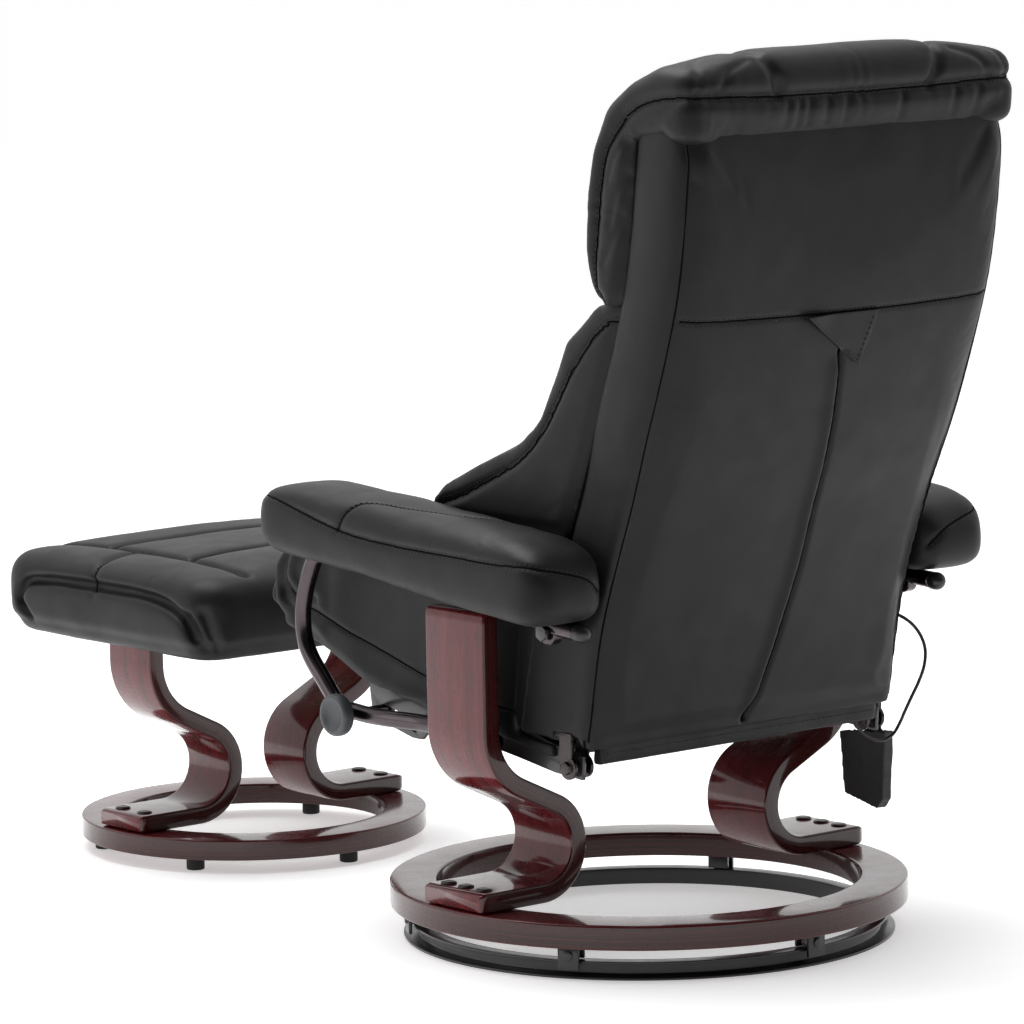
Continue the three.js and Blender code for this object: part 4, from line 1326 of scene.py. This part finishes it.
def dress_cushions():
    head, lumbar, seat = SOFT["head"]["obj"], SOFT["lumbar"]["obj"], SOFT["seat"]["obj"]
    finish_cushion(
        head, HEAD_SEAMS, "back", ["head_cushion"],
        {"gusset": (0.0024, -0.0024), "side": (0.0035,)},
        {"valley": {"depth": 0.0035, "width": 0.007, "pucker": 0.0005, "dark": 0.2},
         "gusset": GATHERED, "side": GATHERED, "wrinkle": WRINKLE}, 1.0)
    finish_cushion(
        lumbar, LUMBAR_SEAMS, "back", ["lumbar_cushion"],
        {"wing_edge": (0.0035,)},
        {"channel": SEAM_LOOK, "wing_root": SEAM_LOOK, "cross": SMALL_SEAM,
         "wing_edge": SEAM_LOOK}, 2.0)
    finish_cushion(
        seat, SEAT_SEAMS, "seat", ["seat_cushion"],
        {"side": (0.0035,)},
        {"channel": SEAM_LOOK, "border": SEAM_LOOK, "cross": SMALL_SEAM, "side": SMALL_SEAM,
         "fold": FOLD}, 3.0)
    arm = SOFT["arm"]["obj"]
    arm_right = mirrored(arm, "arm_right")
    mirror_seams = {name: [[(-x, y, z) for x, y, z in line] for line in lines]
                    for name, lines in ARM_SEAMS.items()}
    for obj, seams, node, seed in ((arm, ARM_SEAMS, "armrest_left", 4.0),
                                   (arm_right, mirror_seams, "armrest_right", 4.6)):
        finish_cushion(
            obj, seams, "swivel_frame", [node],
            {"outer": (0.0026, -0.0026), "turn": (0.0026, -0.0026)},
            {"outer": SMALL_SEAM, "turn": SMALL_SEAM, "inner": SMALL_SEAM}, seed)
    finish_cushion(
        SOFT["stool"]["obj"], STOOL_SEAMS, "footstool", ["stool_cushion"],
        {"border": (0.0030,), "cross": (), "tee": (0.0026, -0.0026)},
        {"border": SEAM_LOOK, "cross": SEAM_LOOK, "tee": SMALL_SEAM,
         # the lip's deep groove gets nearly full painted shade
         "lip": {"depth": 0.0085, "width": 0.0055, "dark": 0.9}, "gather": FOLD}, 5.0)


def rear_seam(side, skins):
    """The seam between the rear skin and a bolster, on whichever of the two skins lies outside."""
    line = []
    for z in np.arange(0.262, 0.928, 0.004):
        x, depth = corner_points(z, 45, 45, 0.0)[0]
        start = Vector(behind(side * (x + 0.02), depth + 0.02, z))
        way = Vector(behind(side * (x - 0.02), depth - 0.02, z)) - start
        way.normalize()
        hits = [tree.ray_cast(start, way, 0.06) for tree in skins]
        hits = [hit for hit in hits if hit[0] is not None]
        if hits:
            skin, normal, _, _ = min(hits, key=lambda hit: hit[3])
            line.append(tuple(skin + normal * 0.0003))
    return np.array(line)


SLIT = [(-0.001, 0.692), (-0.014, 0.610), (-0.024, 0.520), (-0.029, 0.433), (-0.022, 0.359),
        (-0.010, 0.311), (0.005, 0.262)]


def slit(obj):
    """The long opening in the rear skin: a narrow gap, its left lip a little higher, and painted shade
    along it.
    """
    line = cast(obj, [behind(x, 0.020, z) for x, z in SLIT[::-1]])
    co = coordinates(obj.data)
    near, _ = distances(co, line)
    along = np.interp(co[:, 2], line[:, 2], line[:, 0])
    left = (co[:, 0] > along).astype(float)
    ends = ease(co[:, 2], 0.262, 0.30) * (1 - ease(co[:, 2], 0.66, 0.684))
    lip = 0.0042 * left * np.exp(-(((near - 0.006) / 0.009) ** 2)) * ends
    gap = 0.0070 * np.exp(-((near / 0.0036) ** 2))
    set_coordinates(obj.data, co + normals_of(obj.data) * (lip - gap)[:, None])
    # painted shade in the slit
    darken(obj.data, np.exp(-((near / 0.0030) ** 2)))
    return line


def flap(obj):
    """The stitched leather triangle that hangs from the yoke seam over the top of the opening."""
    corners = [np.array(c) for c in ((0.065, 0.734), (-0.045, 0.734), (-0.028, 0.675))]
    tree = skin_of(obj)
    count = 24
    verts, index, faces = [], {}, []
    for i in range(count + 1):
        for j in range(count + 1 - i):
            u, v = i / count, j / count
            x, z = corners[0] * (1 - u - v) + corners[1] * u + corners[2] * v
            skin, normal, _, _ = tree.find_nearest(Vector(behind(x, 0.022, z)))
            curl = 0.0060 * float(ease(1 - u - v, 0.55, 1.0)) + 0.0022 * float(ease(v, 0.7, 1.0))
            index[i, j] = len(verts)
            verts.append(skin + normal * (0.0012 + curl))
    for i in range(count):
        for j in range(count - i):
            faces.append((index[i, j], index[i + 1, j], index[i, j + 1]))
            if i + j < count - 1:
                faces.append((index[i + 1, j], index[i + 1, j + 1], index[i, j + 1]))
    piece = new_object("back_flap", verts, faces)
    if sum(face.normal.y for face in piece.data.polygons) < 0:
        piece.data.flip_normals()
    thick = piece.modifiers.new("thick", "SOLIDIFY")
    thick.thickness = 0.0022
    thick.offset = 1
    bevelled(piece, 0.0007)
    inner = [c * 0.84 + sum(corners) / 3 * 0.16 for c in corners]
    route = [inner[0] * (1 - t) + inner[2] * t for t in np.linspace(0, 1, 20)]
    route += [inner[2] * (1 - t) + inner[1] * t for t in np.linspace(0, 1, 20)][1:]
    on_flap = cast(piece, [behind(x, 0.03, z) for x, z in route])
    thread = stitches(piece, [on_flap])
    place(thread, "back", "black_leather", material="thread")
    place(piece, "back", "black_leather")


def hem():
    """The padded hem along the bottom of the rear skin."""
    corners = [(0.143, 0.235), (0.161, 0.235), (0.1655, 0.262), (0.147, 0.262)]
    section = round_corners(corners, 0.006, 5)
    rings = []
    for x in np.linspace(-0.205, 0.205, 83):
        swell = 0.0008 * noise.noise((x * 30, 0.2, 4.0))
        inset = 0.004 * float(ease(abs(x), 0.197, 0.205))
        rings.append([(x, y + swell * (1 if y > 0.154 else -1) + (0.154 - y) * inset * 40, z)
                      for y, z in section])
    obj = loft("back_hem", rings)
    line = cast(obj, [(x, 0.175, 0.2475) for x in np.linspace(0.203, -0.203, 12)], (0, -1, 0))
    thread = stitches(obj, [line])
    place(thread, "back", "black_leather", material="thread")
    place(obj, "back", "black_leather")


def side_gusset(word, side):
    """A thin leather panel that closes the gap between the seat's side and the back's foot."""
    outline = round_corners([(-0.012, 0.270), (0.062, 0.264), (0.090, 0.380), (0.096, 0.425),
                             (0.020, 0.425), (-0.012, 0.410)], 0.008, 4)
    rings = []
    centre = np.array((0.04, 0.345))
    for inset, x in ((0.0025, 0.2215), (0, 0.2225), (0, 0.2255), (0.0025, 0.2275), (0.015, 0.2300),
                     (0.028, 0.2306)):
        ring = []
        for y, z in outline:
            away = np.array((y, z)) - centre
            y, z = centre + away * (1 - inset / np.linalg.norm(away))
            ring.append((side * x, y, z))
        rings.append(ring)
    obj = loft(f"side_gusset_{word}", rings)
    obj.data.transform(Matrix.Translation((0, RING_Y, 0)))
    obj.data.materials.append(MATERIALS["black_leather"])
    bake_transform(obj)


def dress_back():
    """The rear skin and the two bolsters."""
    back = SOFT["back"]["obj"]
    left = SOFT["bolster"]["obj"]
    right = mirrored(left, "bolster_right")
    slit_line = slit(back)
    flap(back)
    yoke = {"yoke": [[behind(x, 0.010, 0.733) for x in np.linspace(0.232, -0.232, 9)]]}
    skins = [skin_of(obj) for obj in (back, left, right)]
    # Dark strips of painted shade in the two rear seams and, wider, in the slit.
    strips = [sweep("gap", rear_seam(side, skins), circle(0.0009, 6)) for side in (1, -1)]
    strips.append(seam_shade_strip(back, [slit_line], 0.0021))
    place(join("rear_seam_shade_strips", *strips), "back", "black_leather", material="seam_shade_strip")
    finish_cushion(back, yoke, "back", ["back_panel"], {"yoke": (0.0024, -0.0024)},
                   {"yoke": SMALL_SEAM}, 6.0)
    for obj, node in ((left, "back_bolster_left"), (right, "back_bolster_right")):
        finish_cushion(obj, {}, "back", [node], {}, {}, 7.0)
    hem()
    side_gusset("left", 1)
    side_gusset("right", -1)


dress_cushions()
dress_back()


def pouch():
    """The remote control's pouch: its CAD shape, slightly slack."""
    obj = from_node("remote_pouch", "pouch")
    voxelised(obj, 0.0018)
    relax = obj.modifiers.new("relax", "SMOOTH")
    relax.iterations = 2
    baked(obj)
    undulate(obj, 0.0012, 24, 8.0)
    undulate(obj, 0.0005, 70, 9.0)
    shade_smooth(obj)
    place(obj, "swivel_frame", "pouch_fabric", "pouch")


pouch()
